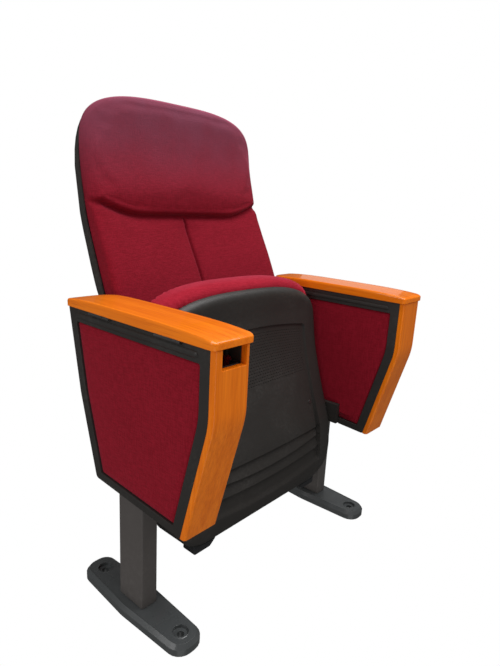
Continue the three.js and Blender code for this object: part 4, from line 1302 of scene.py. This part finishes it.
@dataclass
class ShellParts:
    """The two moulded shells: the one under the seat and the one behind the back."""

    shop: Workshop
    wall: float = 0.0035
    bore_sides: int = 64

    def thickened(self, mesh: Mesh) -> None:
        """Give a one sided skin its wall, inwards."""
        bmesh.ops.recalc_face_normals(mesh, faces=mesh.faces)
        bmesh.ops.solidify(mesh, geom=mesh.faces[:], thickness=self.wall)

    def bored(self, made: Piece, radius: float, place: Vector, depth: float) -> None:
        """Bore a round hole along X through a side wall.

        Args:
            made: The shell.
            radius: The hole's radius.
            place: The hole's middle.
            depth: The hole's depth.
        """
        mesh = bmesh.new()
        bmesh.ops.create_cone(
            mesh, cap_ends=True, segments=self.bore_sides, radius1=radius, radius2=radius, depth=depth,
            matrix=Matrix.Translation(place) @ Matrix.Rotation(QUARTER, 4, "Y"),
        )
        tool = shown(mesh, "bore")
        cut = made.modifiers.new("bore", "BOOLEAN")
        cut.operation = "DIFFERENCE"
        cut.solver = "EXACT"
        cut.object = tool
        applied(made)
        bpy.data.objects.remove(tool)


@dataclass
class SeatShell(ShellParts):
    """The shell under the seat: a deep belly, a sunk field with three louvred steps, and small slots."""

    outline: Outline = Outline(
        half=0.2440, low=0.106, shoulder=0.503, top=0.597, arch_power=2.8, corner_rise=0.075,
        corner_power=2.0, corner_from=0.6897,
    )
    spacing: Spacing = Spacing(
        flat_half=0.196, pitch=0.002, margin_columns=10, last_rows=11, roll_steps=6, wall_rings=3,
    )
    belly: float = 0.078
    forward: float = 0.003
    belly_shares: tuple[Range, ...] = (
        (0.0, 0.81), (0.082, 0.95), (0.185, 1.0), (0.247, 0.975), (0.32, 0.9), (0.39, 0.755),
        (0.495, 0.525), (0.6, 0.32), (0.71, 0.14), (0.86, -0.005), (0.94, -0.02), (1.0, -0.03),
    )
    rim: float = 0.014
    roll: float = 0.018
    field_half: float = 0.194
    field_top: float = 0.515
    field_drop: float = 0.015
    field_bottom: float = 0.1496
    field_rise: float = 0.0183
    field_corner: float = 0.012
    field_depth: float = 0.004
    field_bank: float = 0.0022
    groove_depth: float = 0.0060
    groove_width: float = 0.0055
    groove_deepest: float = 0.255
    groove_reach: float = 0.06
    lower_bank: float = 0.012
    steps: tuple[Range, ...] = ((0.1947, 0.0125), (0.2208, 0.0172), (0.2525, 0.0040))
    step_depth: float = 0.0082
    step_lip: float = 0.0005
    slots_from: float = 0.389
    slots_below_top: float = 0.006
    slots_margin: float = 0.010
    bottom_rows: int = 8
    bank_rows: int = 2
    step_rows: tuple[int, ...] = (9, 7, 7)
    belly_rows: int = 22
    slot_rows: int = 76
    slot_pitch: int = 4
    slot_inset: float = 0.0002
    slot_depth: float = 0.0020
    hub_radius: float = 0.0137
    hub_height: float = 0.277
    hub_forward: float = 0.040

    def build(self) -> None:
        """Build and dress the shell."""
        skin = self.skin()
        mesh = bmesh.new()
        rows = skin.grid(mesh)
        mark = mesh.faces.layers.int.new("slot")
        for face in self.slots(skin, rows):
            face[mark] = 1
        skin.rolled(mesh, skin.border(rows), lambda x, z: self.rim + DATUM_Y)
        self.thickened(mesh)
        faces = [face for face in mesh.faces if face[mark] and face.normal.y < 0.0]
        bmesh.ops.inset_region(mesh, faces=faces, thickness=self.slot_inset, depth=-self.slot_depth)
        made = self.shop.place(mesh, "seat_shell", "moulding", even=False)
        for way in SIDES:
            place = Vector((way * self.outline.half, DATUM_Y - self.hub_forward, self.hub_height))
            self.bored(made, self.hub_radius, place, self.outline.half)

    def share_across(self, x: float) -> float:
        """Return the square of how far a place across is from the middle to the field's edge."""
        return (x / self.field_half) ** 2

    def field_line(self, height: float, rise: float) -> Line:
        """Return a curved line across the field by its height in the middle and its rise to the sides."""
        return lambda x: height + rise * self.share_across(x)

    def skin(self) -> Skin:
        """Return the shell's skin with rows along every line of the field.

        Returns:
            The skin.
        """
        low = self.field_line(self.field_bottom, self.field_rise)
        high = self.field_line(self.field_top, -self.field_drop)
        guides = [(low, self.bottom_rows), (lambda x: low(x) + self.field_bank, self.bank_rows)]
        for (height, rise), rows in zip(self.steps, self.step_rows):
            line = self.field_line(height, rise)
            guides.append((lambda x, line=line: line(x) - self.step_lip, rows))
            guides.append((lambda x, line=line: line(x) + self.step_lip, 1))
        guides.append((lambda x: self.slots_from, self.belly_rows))
        guides.append((lambda x: high(x) - self.slots_below_top, self.slot_rows))
        guides.append((lambda x: high(x) - self.field_bank, self.bank_rows))
        guides.append((high, self.bank_rows))
        return Skin(self.outline, self.face, self.roll, self.drop, self.spacing, guides)

    def line_at(self, z: float) -> float:
        """Return the Y of the belly at a height."""
        share = (z - self.outline.low) / (self.outline.top - self.outline.low)
        return DATUM_Y - self.forward - self.belly * curve_through(self.belly_shares, share)

    def drop(self, x: float, z: float) -> float:
        """Return how deep the edge rolls over."""
        return min(self.roll, max(self.rim + DATUM_Y - self.line_at(z), 0.0))

    def inside(self, x: float, z: float) -> float:
        """Return how far a place is inside the field's sides and top, with round corners.

        Args:
            x: The place across.
            z: The height.

        Returns:
            The distance, negative outside.
        """
        across = self.field_half - abs(x)
        held = min(max(x, -self.field_half), self.field_half)
        below = self.field_line(self.field_top, -self.field_drop)(held) - z
        if across < self.field_corner and below < self.field_corner:
            return self.field_corner - math.hypot(self.field_corner - across, self.field_corner - below)
        return min(across, below)

    def face(self, x: float, z: float) -> float:
        """Return the Y of the shell's outer face at a place across and a height.

        Args:
            x: The place across.
            z: The height.

        Returns:
            The Y.
        """
        inside = self.inside(x, z)
        above = z - self.field_line(self.field_bottom, self.field_rise)(x)
        weight = blend(0.0, self.field_bank, inside) * blend(0.0, self.lower_bank, above)
        groove = self.groove_depth * dip(z - self.groove_deepest, self.groove_reach)
        groove *= dip(inside - self.field_bank, self.groove_width)
        return self.line_at(z) + (self.field_depth + groove + self.louvre(x, z)) * weight

    def louvre(self, x: float, z: float) -> float:
        """Return how much deeper a step is than the field at a place.

        Args:
            x: The place across.
            z: The height.

        Returns:
            The depth.
        """
        lines = [self.field_line(*line)(x) for line in ((self.field_bottom, self.field_rise), *self.steps)]
        for low, high in zip(lines, lines[1:]):
            if low <= z < high:
                return self.step_depth * (z - low) / (high - low)
        return 0.0

    def slots(self, skin: Skin, rows: list[Points]) -> set[bmesh.types.BMFace]:
        """Return the faces that become slots, two columns wide and in staggered rows.

        Args:
            skin: The shell's skin.
            rows: The sheet's points by row and column.

        Returns:
            The faces.
        """
        faces = set()
        start = sum(count for _, count in skin.guides[:-3])
        pitch = self.slot_pitch
        for row in range(start + 2, start + self.slot_rows - 1, pitch):
            shift = (row - start) % (2 * pitch) // 2 - 1
            for column in range(shift, len(skin.columns) - 2, pitch):
                corners = rows[row][column:column + 3]
                if min(self.inside(corner.co.x, corner.co.z) for corner in corners) < self.slots_margin:
                    continue
                for step in range(2):
                    points = (corners[step], corners[step + 1], rows[row + 1][column + step])
                    faces |= set.intersection(*(set(point.link_faces) for point in points))
        return faces


@dataclass
class BackShell(ShellParts):
    """The shell behind the backrest, domed to the rear."""

    outline: Outline = Outline(
        half=0.2462, low=0.4545, shoulder=0.740, top=0.9725, arch_power=4.5, corner_rise=0.025,
        corner_power=6.0,
    )
    spacing: Spacing = Spacing(flat_half=0.200, pitch=0.010, margin_columns=8, last_rows=24, roll_steps=7)
    middle: float = 0.72
    lower_rows: int = 24
    depths: tuple[Range, ...] = (
        (0.44, 0.0155), (0.55, 0.0175), (0.595, 0.0265), (0.70, 0.0240), (0.76, 0.0220), (0.86, 0.0185),
        (0.98, 0.0170),
    )
    dome: float = 0.008
    lip: float = 0.002
    roll: float = 0.011

    def build(self) -> None:
        """Build and dress the shell."""
        line = BackLine()
        skin = Skin(
            self.outline, lambda x, z: line.at(z) + self.behind(x, z), self.roll, lambda x, z: -self.roll,
            self.spacing, [(lambda x: self.middle, self.lower_rows)],
        )
        mesh = bmesh.new()
        rows = skin.grid(mesh)
        skin.rolled(mesh, skin.border(rows), lambda x, z: line.at(z) - self.lip)
        bmesh.ops.reverse_faces(mesh, faces=mesh.faces)
        self.thickened(mesh)
        self.shop.place(mesh, "back_shell", "moulding", even=False)

    def behind(self, x: float, z: float) -> float:
        """Return how far behind the back's line the rear face lies at a place.

        Args:
            x: The place across.
            z: The height.

        Returns:
            The distance.
        """
        up = (z - self.outline.low) / (self.outline.top - self.outline.low)
        swell = self.dome * (1.0 - (x / self.outline.half) ** 2) * math.sin(math.pi * min(max(up, 0.0), 1.0))
        return max(curve_through(self.depths, z), self.depths[0][1] + swell)


@dataclass
class Upholstery:
    """Padded pieces: a dense skin puffed up by a short cloth simulation, then sewn by moving its points."""

    shop: Workshop
    pressure: float = 3.0
    last_frame: int = 16
    cap: float = 0.0040
    weld: float = 0.00001
    fill: float = 0.8
    finish: str = "red_fabric"

    def cushion(self, node: str, skin: Skin, rear: Surface,
                rear_roll: float) -> Piece:
        """Make a closed cushion.

        Args:
            node: The node that it stands for.
            skin: Its front, with the rolled edge.
            rear: The Y of its rear face at a place across and a height.
            rear_roll: How deep the rear edge rolls.

        Returns:
            The cushion.
        """
        mesh = bmesh.new()
        rows = skin.grid(mesh)
        last, ways = skin.rolled(mesh, skin.border(rows), lambda x, z: rear(x, z) - rear_roll)
        edge = [vertex.co.copy() for vertex in last]
        for step in range(1, skin.spacing.roll_steps + 1):
            angle = QUARTER * (1.0 - step / skin.spacing.roll_steps)
            places = []
            for start, way in zip(edge, ways):
                place = start - way * (skin.roll * (1.0 - math.sin(angle)))
                deep = rear_roll * (1.0 - math.cos(angle))
                places.append(Vector((place.x, rear(place.x, place.z) - deep, place.z)))
            last = skin.ring(mesh, places, last)
        skin.grid(mesh, True, rear)
        bmesh.ops.remove_doubles(mesh, verts=mesh.verts, dist=self.weld)
        return shown(mesh, f"{node}_upholstery")

    def puff(self, made: Piece, held: Callable[[Vector], float]) -> None:
        """Blow a cushion up with a short cloth simulation, then make its mesh finer.

        Args:
            made: The cushion.
            held: How firmly a point is held, from 0 to 1.
        """
        before = [vertex.co.copy() for vertex in made.data.vertices]
        group = made.vertex_groups.new(name="held")
        for vertex in made.data.vertices:
            group.add([vertex.index], held(vertex.co), "REPLACE")
        cloth = made.modifiers.new("puff", "CLOTH")
        cloth.settings.use_pressure = True
        cloth.settings.uniform_pressure_force = self.pressure
        cloth.settings.effector_weights.gravity = 0.0
        cloth.settings.vertex_group_mass = group.name
        cloth.point_cache.frame_start = 1
        cloth.point_cache.frame_end = self.last_frame
        for step in range(1, self.last_frame + 1):
            bpy.context.scene.frame_set(step)
        applied(made)
        made.vertex_groups.clear()
        bpy.context.scene.frame_set(1)
        for vertex, start in zip(made.data.vertices, before):
            move = vertex.co - start
            if move.length > self.cap:
                vertex.co = start + move * (self.cap / move.length)
        finer = made.modifiers.new("finer", "SUBSURF")
        finer.levels = 1
        finer.render_levels = 1
        applied(made)

    def sewn(self, made: Piece, sunk: Callable[[Vector], float]) -> None:
        """Push the front of a cushion in by a depth at each point."""
        for vertex in made.data.vertices:
            vertex.co.y += sunk(vertex.co)

    def dress(self, made: Piece, node: str) -> None:
        """Args:
            made: The cushion.
            node: The node that it stands for.
        """
        made.data.polygons.foreach_set("use_smooth", [True] * len(made.data.polygons))
        self.shop.dress(made, node, self.finish)


@dataclass
class SeatPad(Upholstery):
    """The seat cushion, with cloth gathered round its upper corners."""

    # the brighter copy of the fabric, painted light for the cushion's upward-facing top roll
    finish: str = "seat_fabric"
    outline: Outline = Outline(
        half=0.2387, low=0.123, shoulder=0.533, top=0.617, arch_power=2.9, corner_rise=0.078,
        corner_power=4.0,
    )
    spacing: Spacing = Spacing(flat_half=0.200, pitch=0.010, margin_columns=7, last_rows=24, roll_steps=7)
    lower_rows: int = 22
    front: float = 0.0144
    thin: float = 0.027
    thick: float = 0.058
    crown: float = 0.011
    roll: float = 0.020
    shallow: float = 0.011
    deep: float = 0.026
    deeper_heights: Range = (0.35, 0.56)
    loose_share: float = 0.2
    gather_from: float = 0.50
    gather_centre: float = 0.150
    gathers: float = 46.0
    gather_depth: float = 0.0026
    gather_reaches: Range = (0.045, 0.085)
    gather_starts: Range = (0.1, 0.5)
    gather_ends: Range = (1.35, 1.75)
    gather_wander: float = 2.0
    ripple: float = 0.0006
    ripple_pitch: float = 0.045

    def build(self) -> None:
        """Build and dress the cushion."""
        middle = (self.outline.low + self.outline.top) / 2.0
        skin = Skin(
            self.outline, lambda x, z: self.front + DATUM_Y, self.roll, self.drop, self.spacing,
            [(lambda x: middle, self.lower_rows)],
        )
        made = self.cushion("seat_cushion", skin, self.rear, self.shallow)
        low = made.data.vertices[0].co.y
        self.puff(made, lambda point: 1.0 if point.y < low + self.shallow else self.loose_share)
        self.sewn(made, self.gathered)
        self.dress(made, "seat_cushion")

    def share_up(self, z: float) -> float:
        """Return how far up the cushion a height is, from 0 to 1."""
        return min(max((z - self.outline.low) / (self.outline.top - self.outline.low), 0.0), 1.0)

    def rear(self, x: float, z: float) -> float:
        """Return the Y of the sitting face at a place across and a height.

        Args:
            x: The place across.
            z: The height.

        Returns:
            The Y.
        """
        up = self.share_up(z)
        crown = self.crown * (1.0 - min((x / self.outline.half) ** 2, 1.0)) * math.sin(math.pi * up)
        return DATUM_Y + self.front + self.thin + (self.thick - self.thin) * up + crown

    def drop(self, x: float, z: float) -> float:
        """Return how deep the front edge rolls, deeper at the top."""
        return self.shallow + (self.deep - self.shallow) * blend(*self.deeper_heights, z)

    def gathered(self, point: Vector) -> float:
        """Return how far in the cloth is drawn at a point.

        Args:
            point: The point.

        Returns:
            The depth.
        """
        across = abs(point.x) - self.gather_centre
        rise = point.z - self.gather_from
        reach = math.hypot(across, rise)
        turn = math.atan2(rise, across)
        weight = blend(*self.gather_reaches, reach) * blend(*self.gather_starts, turn)
        weight *= 1.0 - blend(*self.gather_ends, turn)
        uneven = noise(point / self.ripple_pitch)
        fold = math.sin(turn * self.gathers + self.gather_wander * uneven)
        return self.gather_depth * weight * fold + self.ripple * uneven


@dataclass
class BackPad(Upholstery):
    """The back cushion, with a dipping cross seam under the headrest and a centre seam below it."""

    outline: Outline = Outline(
        half=0.242, low=0.455, shoulder=0.862, top=0.976, arch_power=3.3, corner_rise=0.025,
        corner_power=6.0,
    )
    spacing: Spacing = Spacing(
        flat_half=0.196, pitch=0.006, margin_columns=6, last_rows=24, roll_steps=8,
        fine=(0.0010, 0.0020, 0.0036), true_guides=True,
    )
    side_thickness: tuple[Range, ...] = (
        (0.44, 0.044), (0.52, 0.048), (0.61, 0.050), (0.705, 0.041), (0.77, 0.032), (0.88, 0.022),
        (0.99, 0.017),
    )
    fit: float = 0.0002
    head_crown: float = 0.004
    hollow: float = 0.021
    roll: float = 0.021
    upper_drop: float = 0.017
    lower_drop: float = 0.015
    rear_roll: float = 0.003
    lower_rows: int = 36
    seam_rows: int = 22
    rows_below: float = 0.010
    rows_above: float = 0.026
    seam_middle: float = 0.736
    seam_edge: float = 0.762
    seam_shares: Range = (0.5, 0.913)
    seam_bend: float = 1.8
    seam_depth: float = 0.0078
    upper_width: float = 0.0060
    lower_width: float = 0.0100
    head_rise: float = 0.0085
    head_reach: float = 0.017
    head_fade: float = 0.14
    lip_rise: float = 0.0028
    lip_place: float = 0.0140
    lip_width: float = 0.006
    centre_depth: float = 0.0095
    centre_width: float = 0.0036
    centre_valley: float = 0.0025
    valley_width: float = 0.020
    swell_power: float = 0.6
    head_shares: Range = (0.45, 0.65)
    edge_shares: Range = (0.90, 1.0)
    drop_heights: Range = (0.70, 0.80)
    held_depths: Range = (0.010, 0.020)
    ripple: float = 0.0008
    ripple_pitch: float = 0.060
    ripple_depths: Range = (0.012, 0.024)
    line: BackLine = BackLine()

    def build(self) -> None:
        """Build and dress the cushion."""
        skin = Skin(
            self.outline, self.face, self.roll, self.drop, self.spacing,
            [
                (lambda x: self.seam(x) - self.rows_below, self.lower_rows),
                (lambda x: self.seam(x) + self.rows_above, self.seam_rows),
            ],
        )
        made = self.cushion("back_cushion", skin, lambda x, z: self.line.at(z) - self.fit, self.rear_roll)
        self.puff(made, self.held)
        self.sewn(made, self.rippled)
        self.dress(made, "back_cushion")

    def share_across(self, x: float) -> float:
        """Return how far out a place across is, from 0 to 1."""
        return min(abs(x) / self.outline.half, 1.0)

    def seam(self, x: float) -> float:
        """Return the cross seam's height at a place across.

        Args:
            x: The place across.

        Returns:
            The height.
        """
        start, end = self.seam_shares
        beyond = (min(max(self.share_across(x), start), end) - start) / (end - start)
        return self.seam_middle + (self.seam_edge - self.seam_middle) * beyond ** self.seam_bend

    def share_up(self, x: float, z: float) -> float:
        """Return how far up the cushion a place is, with the cross seam at a half.

        Args:
            x: The place across.
            z: The height.

        Returns:
            The share, from 0 to 1.
        """
        share = self.share_across(x)
        seam = self.seam(x)
        shape = self.outline
        if z < seam:
            low = shape.low + shape.corner_rise * (1.0 - bulge(share, shape.corner_power))
            return 0.5 * min(max((z - low) / (seam - low), 0.0), 1.0)
        top = shape.shoulder + (shape.top - shape.shoulder) * bulge(share, shape.arch_power)
        return 0.5 + 0.5 * min(max((z - seam) / max(top - seam, self.roll), 0.0), 1.0)

    def face(self, x: float, z: float) -> float:
        """Return the Y of the front at a place across and a height.

        Args:
            x: The place across.
            z: The height.

        Returns:
            The Y.
        """
        up = self.share_up(x, z)
        swell = math.sin(math.pi * up) ** self.swell_power
        head = blend(*self.head_shares, up)
        crown = head * self.head_crown - (1.0 - head) * self.hollow
        crown *= (1.0 - self.share_across(x) ** 2) * swell
        thickness = curve_through(self.side_thickness, z)
        return self.line.at(z) - self.fit - thickness - crown + self.sunk(x, z)

    def drop(self, x: float, z: float) -> float:
        """Return how deep the front edge rolls over, less below the headrest."""
        return self.lower_drop + (self.upper_drop - self.lower_drop) * blend(*self.drop_heights, z)

    def sunk(self, x: float, z: float) -> float:
        """Return how far in the seams draw the front at a place.

        Args:
            x: The place across.
            z: The height.

        Returns:
            The depth.
        """
        above = z - self.seam(x)
        if above > 0.0:
            rise = 1.0 - (1.0 - min(above / self.head_reach, 1.0)) ** 3
            edge = 1.0 - blend(*self.edge_shares, abs(x) / self.outline.half)
            head = self.head_rise * edge * rise * (1.0 - blend(self.head_reach, self.head_fade, above))
            return self.seam_depth * dip(above, self.upper_width) - head
        cross = self.seam_depth * dip(above, self.lower_width)
        cross -= self.lip_rise * dip(above + self.lip_place, self.lip_width)
        centre = self.centre_depth * dip(x, self.centre_width)
        centre += self.centre_valley * dip(x, self.valley_width)
        return cross + centre * blend(0.0, self.lip_place, -above)

    def held(self, point: Vector) -> float:
        """Return how firmly the simulation holds a point: fully at the seams, the edge and the rear.

        Args:
            point: The point.

        Returns:
            The firmness, from 0 to 1.
        """
        behind = self.line.at(point.z) - point.y
        seam = dip(point.z - self.seam(point.x), self.lip_place)
        centre = dip(point.x, self.lip_place) if point.z < self.seam(point.x) else 0.0
        edge = blend(self.outline.half - self.roll, self.outline.half, abs(point.x))
        rear = 1.0 - blend(*self.held_depths, behind)
        return min(max(seam, centre, edge, rear), 1.0)

    def rippled(self, point: Vector) -> float:
        """Return the soft unevenness of the cloth at a point of the front."""
        behind = self.line.at(point.z) - point.y
        return self.ripple * noise(point / self.ripple_pitch) * blend(*self.ripple_depths, behind)


@dataclass(frozen=True)
class Lamp:
    """A square soft lamp: its name, where it hangs, where it points, its side and its power in watts."""

    name: str
    place: Triple
    aim: Triple
    size: float
    watts: float

    def build(self) -> None:
        """Hang the lamp."""
        data = bpy.data.lights.new(self.name, "AREA")
        data.size = self.size
        data.energy = self.watts
        lamp = bpy.data.objects.new(self.name, data)
        bpy.context.scene.collection.objects.link(lamp)
        lamp.location = self.place
        lamp.rotation_euler = (Vector(self.aim) - Vector(self.place)).to_track_quat("-Z", "Y").to_euler()


@dataclass
class Studio:
    """The camera at the photograph's place, soft lamps and a white world."""

    camera_place: Triple = (-0.81309, -0.72910, 0.77930)
    azimuth_degrees: float = -49.14
    elevation_degrees: float = 14.28
    roll_degrees: float = 3.04
    focal_pixels: float = 520.07
    frame_pixels: float = 666.0
    sensor: float = 36.0
    world_light: float = 0.40
    world_reflection: float = 0.06
    world_tint: Colour = (1.0, 0.985, 0.96, 1.0)
    white: Colour = (1.0, 1.0, 1.0, 1.0)
    near_clip: float = 0.01
    lamps: tuple[Lamp, ...] = (
        Lamp("top_lamp", place=(0.3, -0.5, 2.6), aim=(0.0, 0.0, 0.5), size=2.2, watts=61.0),
        Lamp("left_lamp", place=(-2.9, 0.3, 1.5), aim=(0.0, 0.0, 0.5), size=2.2, watts=25.0),
        Lamp("far_lamp", place=(2.9, 1.4, 1.15), aim=(0.3, -0.1, 0.6), size=0.9, watts=1.0),
        Lamp("floor_lamp", place=(-1.2, -1.8, -0.7), aim=(0.0, 0.0, 0.3), size=2.0, watts=6.0),
    )

    def build(self) -> None:
        """Build the camera and the lights."""
        self.camera()
        self.world()
        for lamp in self.lamps:
            lamp.build()

    def camera(self) -> None:
        """Place the camera by its azimuth, elevation and roll."""
        turn, rise = math.radians(self.azimuth_degrees), math.radians(self.elevation_degrees)
        ahead = Vector((
            -math.sin(turn) * math.cos(rise), math.cos(turn) * math.cos(rise), -math.sin(rise),
        ))
        right = Vector((math.cos(turn), math.sin(turn), 0.0))
        down = ahead.cross(right)
        roll = math.radians(self.roll_degrees)
        across = right * math.cos(roll) - down * math.sin(roll)
        below = right * math.sin(roll) + down * math.cos(roll)
        data = bpy.data.cameras.new("photo_camera")
        data.sensor_fit = "VERTICAL"
        data.sensor_height = self.sensor
        data.lens = self.focal_pixels / self.frame_pixels * self.sensor
        data.clip_start = self.near_clip
        camera = bpy.data.objects.new("photo_camera", data)
        bpy.context.scene.collection.objects.link(camera)
        basis = (across, -below, -ahead)
        camera.matrix_world = Matrix.LocRotScale(
            Vector(self.camera_place), Matrix(basis).transposed(), Vector((1.0, 1.0, 1.0)),
        )
        bpy.context.scene.camera = camera

    def world(self) -> None:
        """Show white to the camera, light the object softly, and keep its reflections dim."""
        world = bpy.data.worlds.new("studio")
        bpy.context.scene.world = world
        world.use_nodes = True
        tree = world.node_tree
        light = tree.nodes["Background"]
        light.inputs[0].default_value = self.world_tint
        path = tree.nodes.new("ShaderNodeLightPath")
        strength = tree.nodes.new("ShaderNodeMapRange")
        tree.links.new(path.outputs["Is Glossy Ray"], strength.inputs[0])
        strength.inputs[3].default_value = self.world_light
        strength.inputs[4].default_value = self.world_reflection
        tree.links.new(strength.outputs[0], light.inputs[1])
        backdrop = tree.nodes.new("ShaderNodeBackground")
        backdrop.inputs[0].default_value = self.white
        mix = tree.nodes.new("ShaderNodeMixShader")
        tree.links.new(path.outputs["Is Camera Ray"], mix.inputs[0])
        tree.links.new(light.outputs[0], mix.inputs[1])
        tree.links.new(backdrop.outputs[0], mix.inputs[2])
        tree.links.new(mix.outputs[0], tree.nodes["World Output"].inputs[0])


def write_sizes(before: tuple[Vector, Vector]) -> None:
    """Log how much larger the dressed model's box is than the CAD model's box along each axis.

    Args:
        before: The low and the high corner of the CAD model's box.
    """
    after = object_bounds()
    growth = [round((after[1][i] - after[0][i]) - (before[1][i] - before[0][i]), 5) for i in range(3)]
    LOG.info("The dressed model is larger than the CAD model by %s m", growth)


def main() -> None:
    """Build the seat around the frame."""
    logging.basicConfig(level=logging.INFO, format="%(message)s")
    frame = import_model()
    cad_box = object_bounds()
    bpy.context.scene.view_settings.view_transform = "Standard"
    Studio().build()
    shop = Workshop(frame, make_finishes())
    parts = (
        Standards, ArmBoxes, LidHinges, WritingTablet, Pivots, SeatPan, BackRest, SeatShell, BackShell,
        SeatPad, BackPad,
    )
    for part in parts:
        part(shop).build()
    write_sizes(cad_box)


if __name__ == "__main__":
    main()
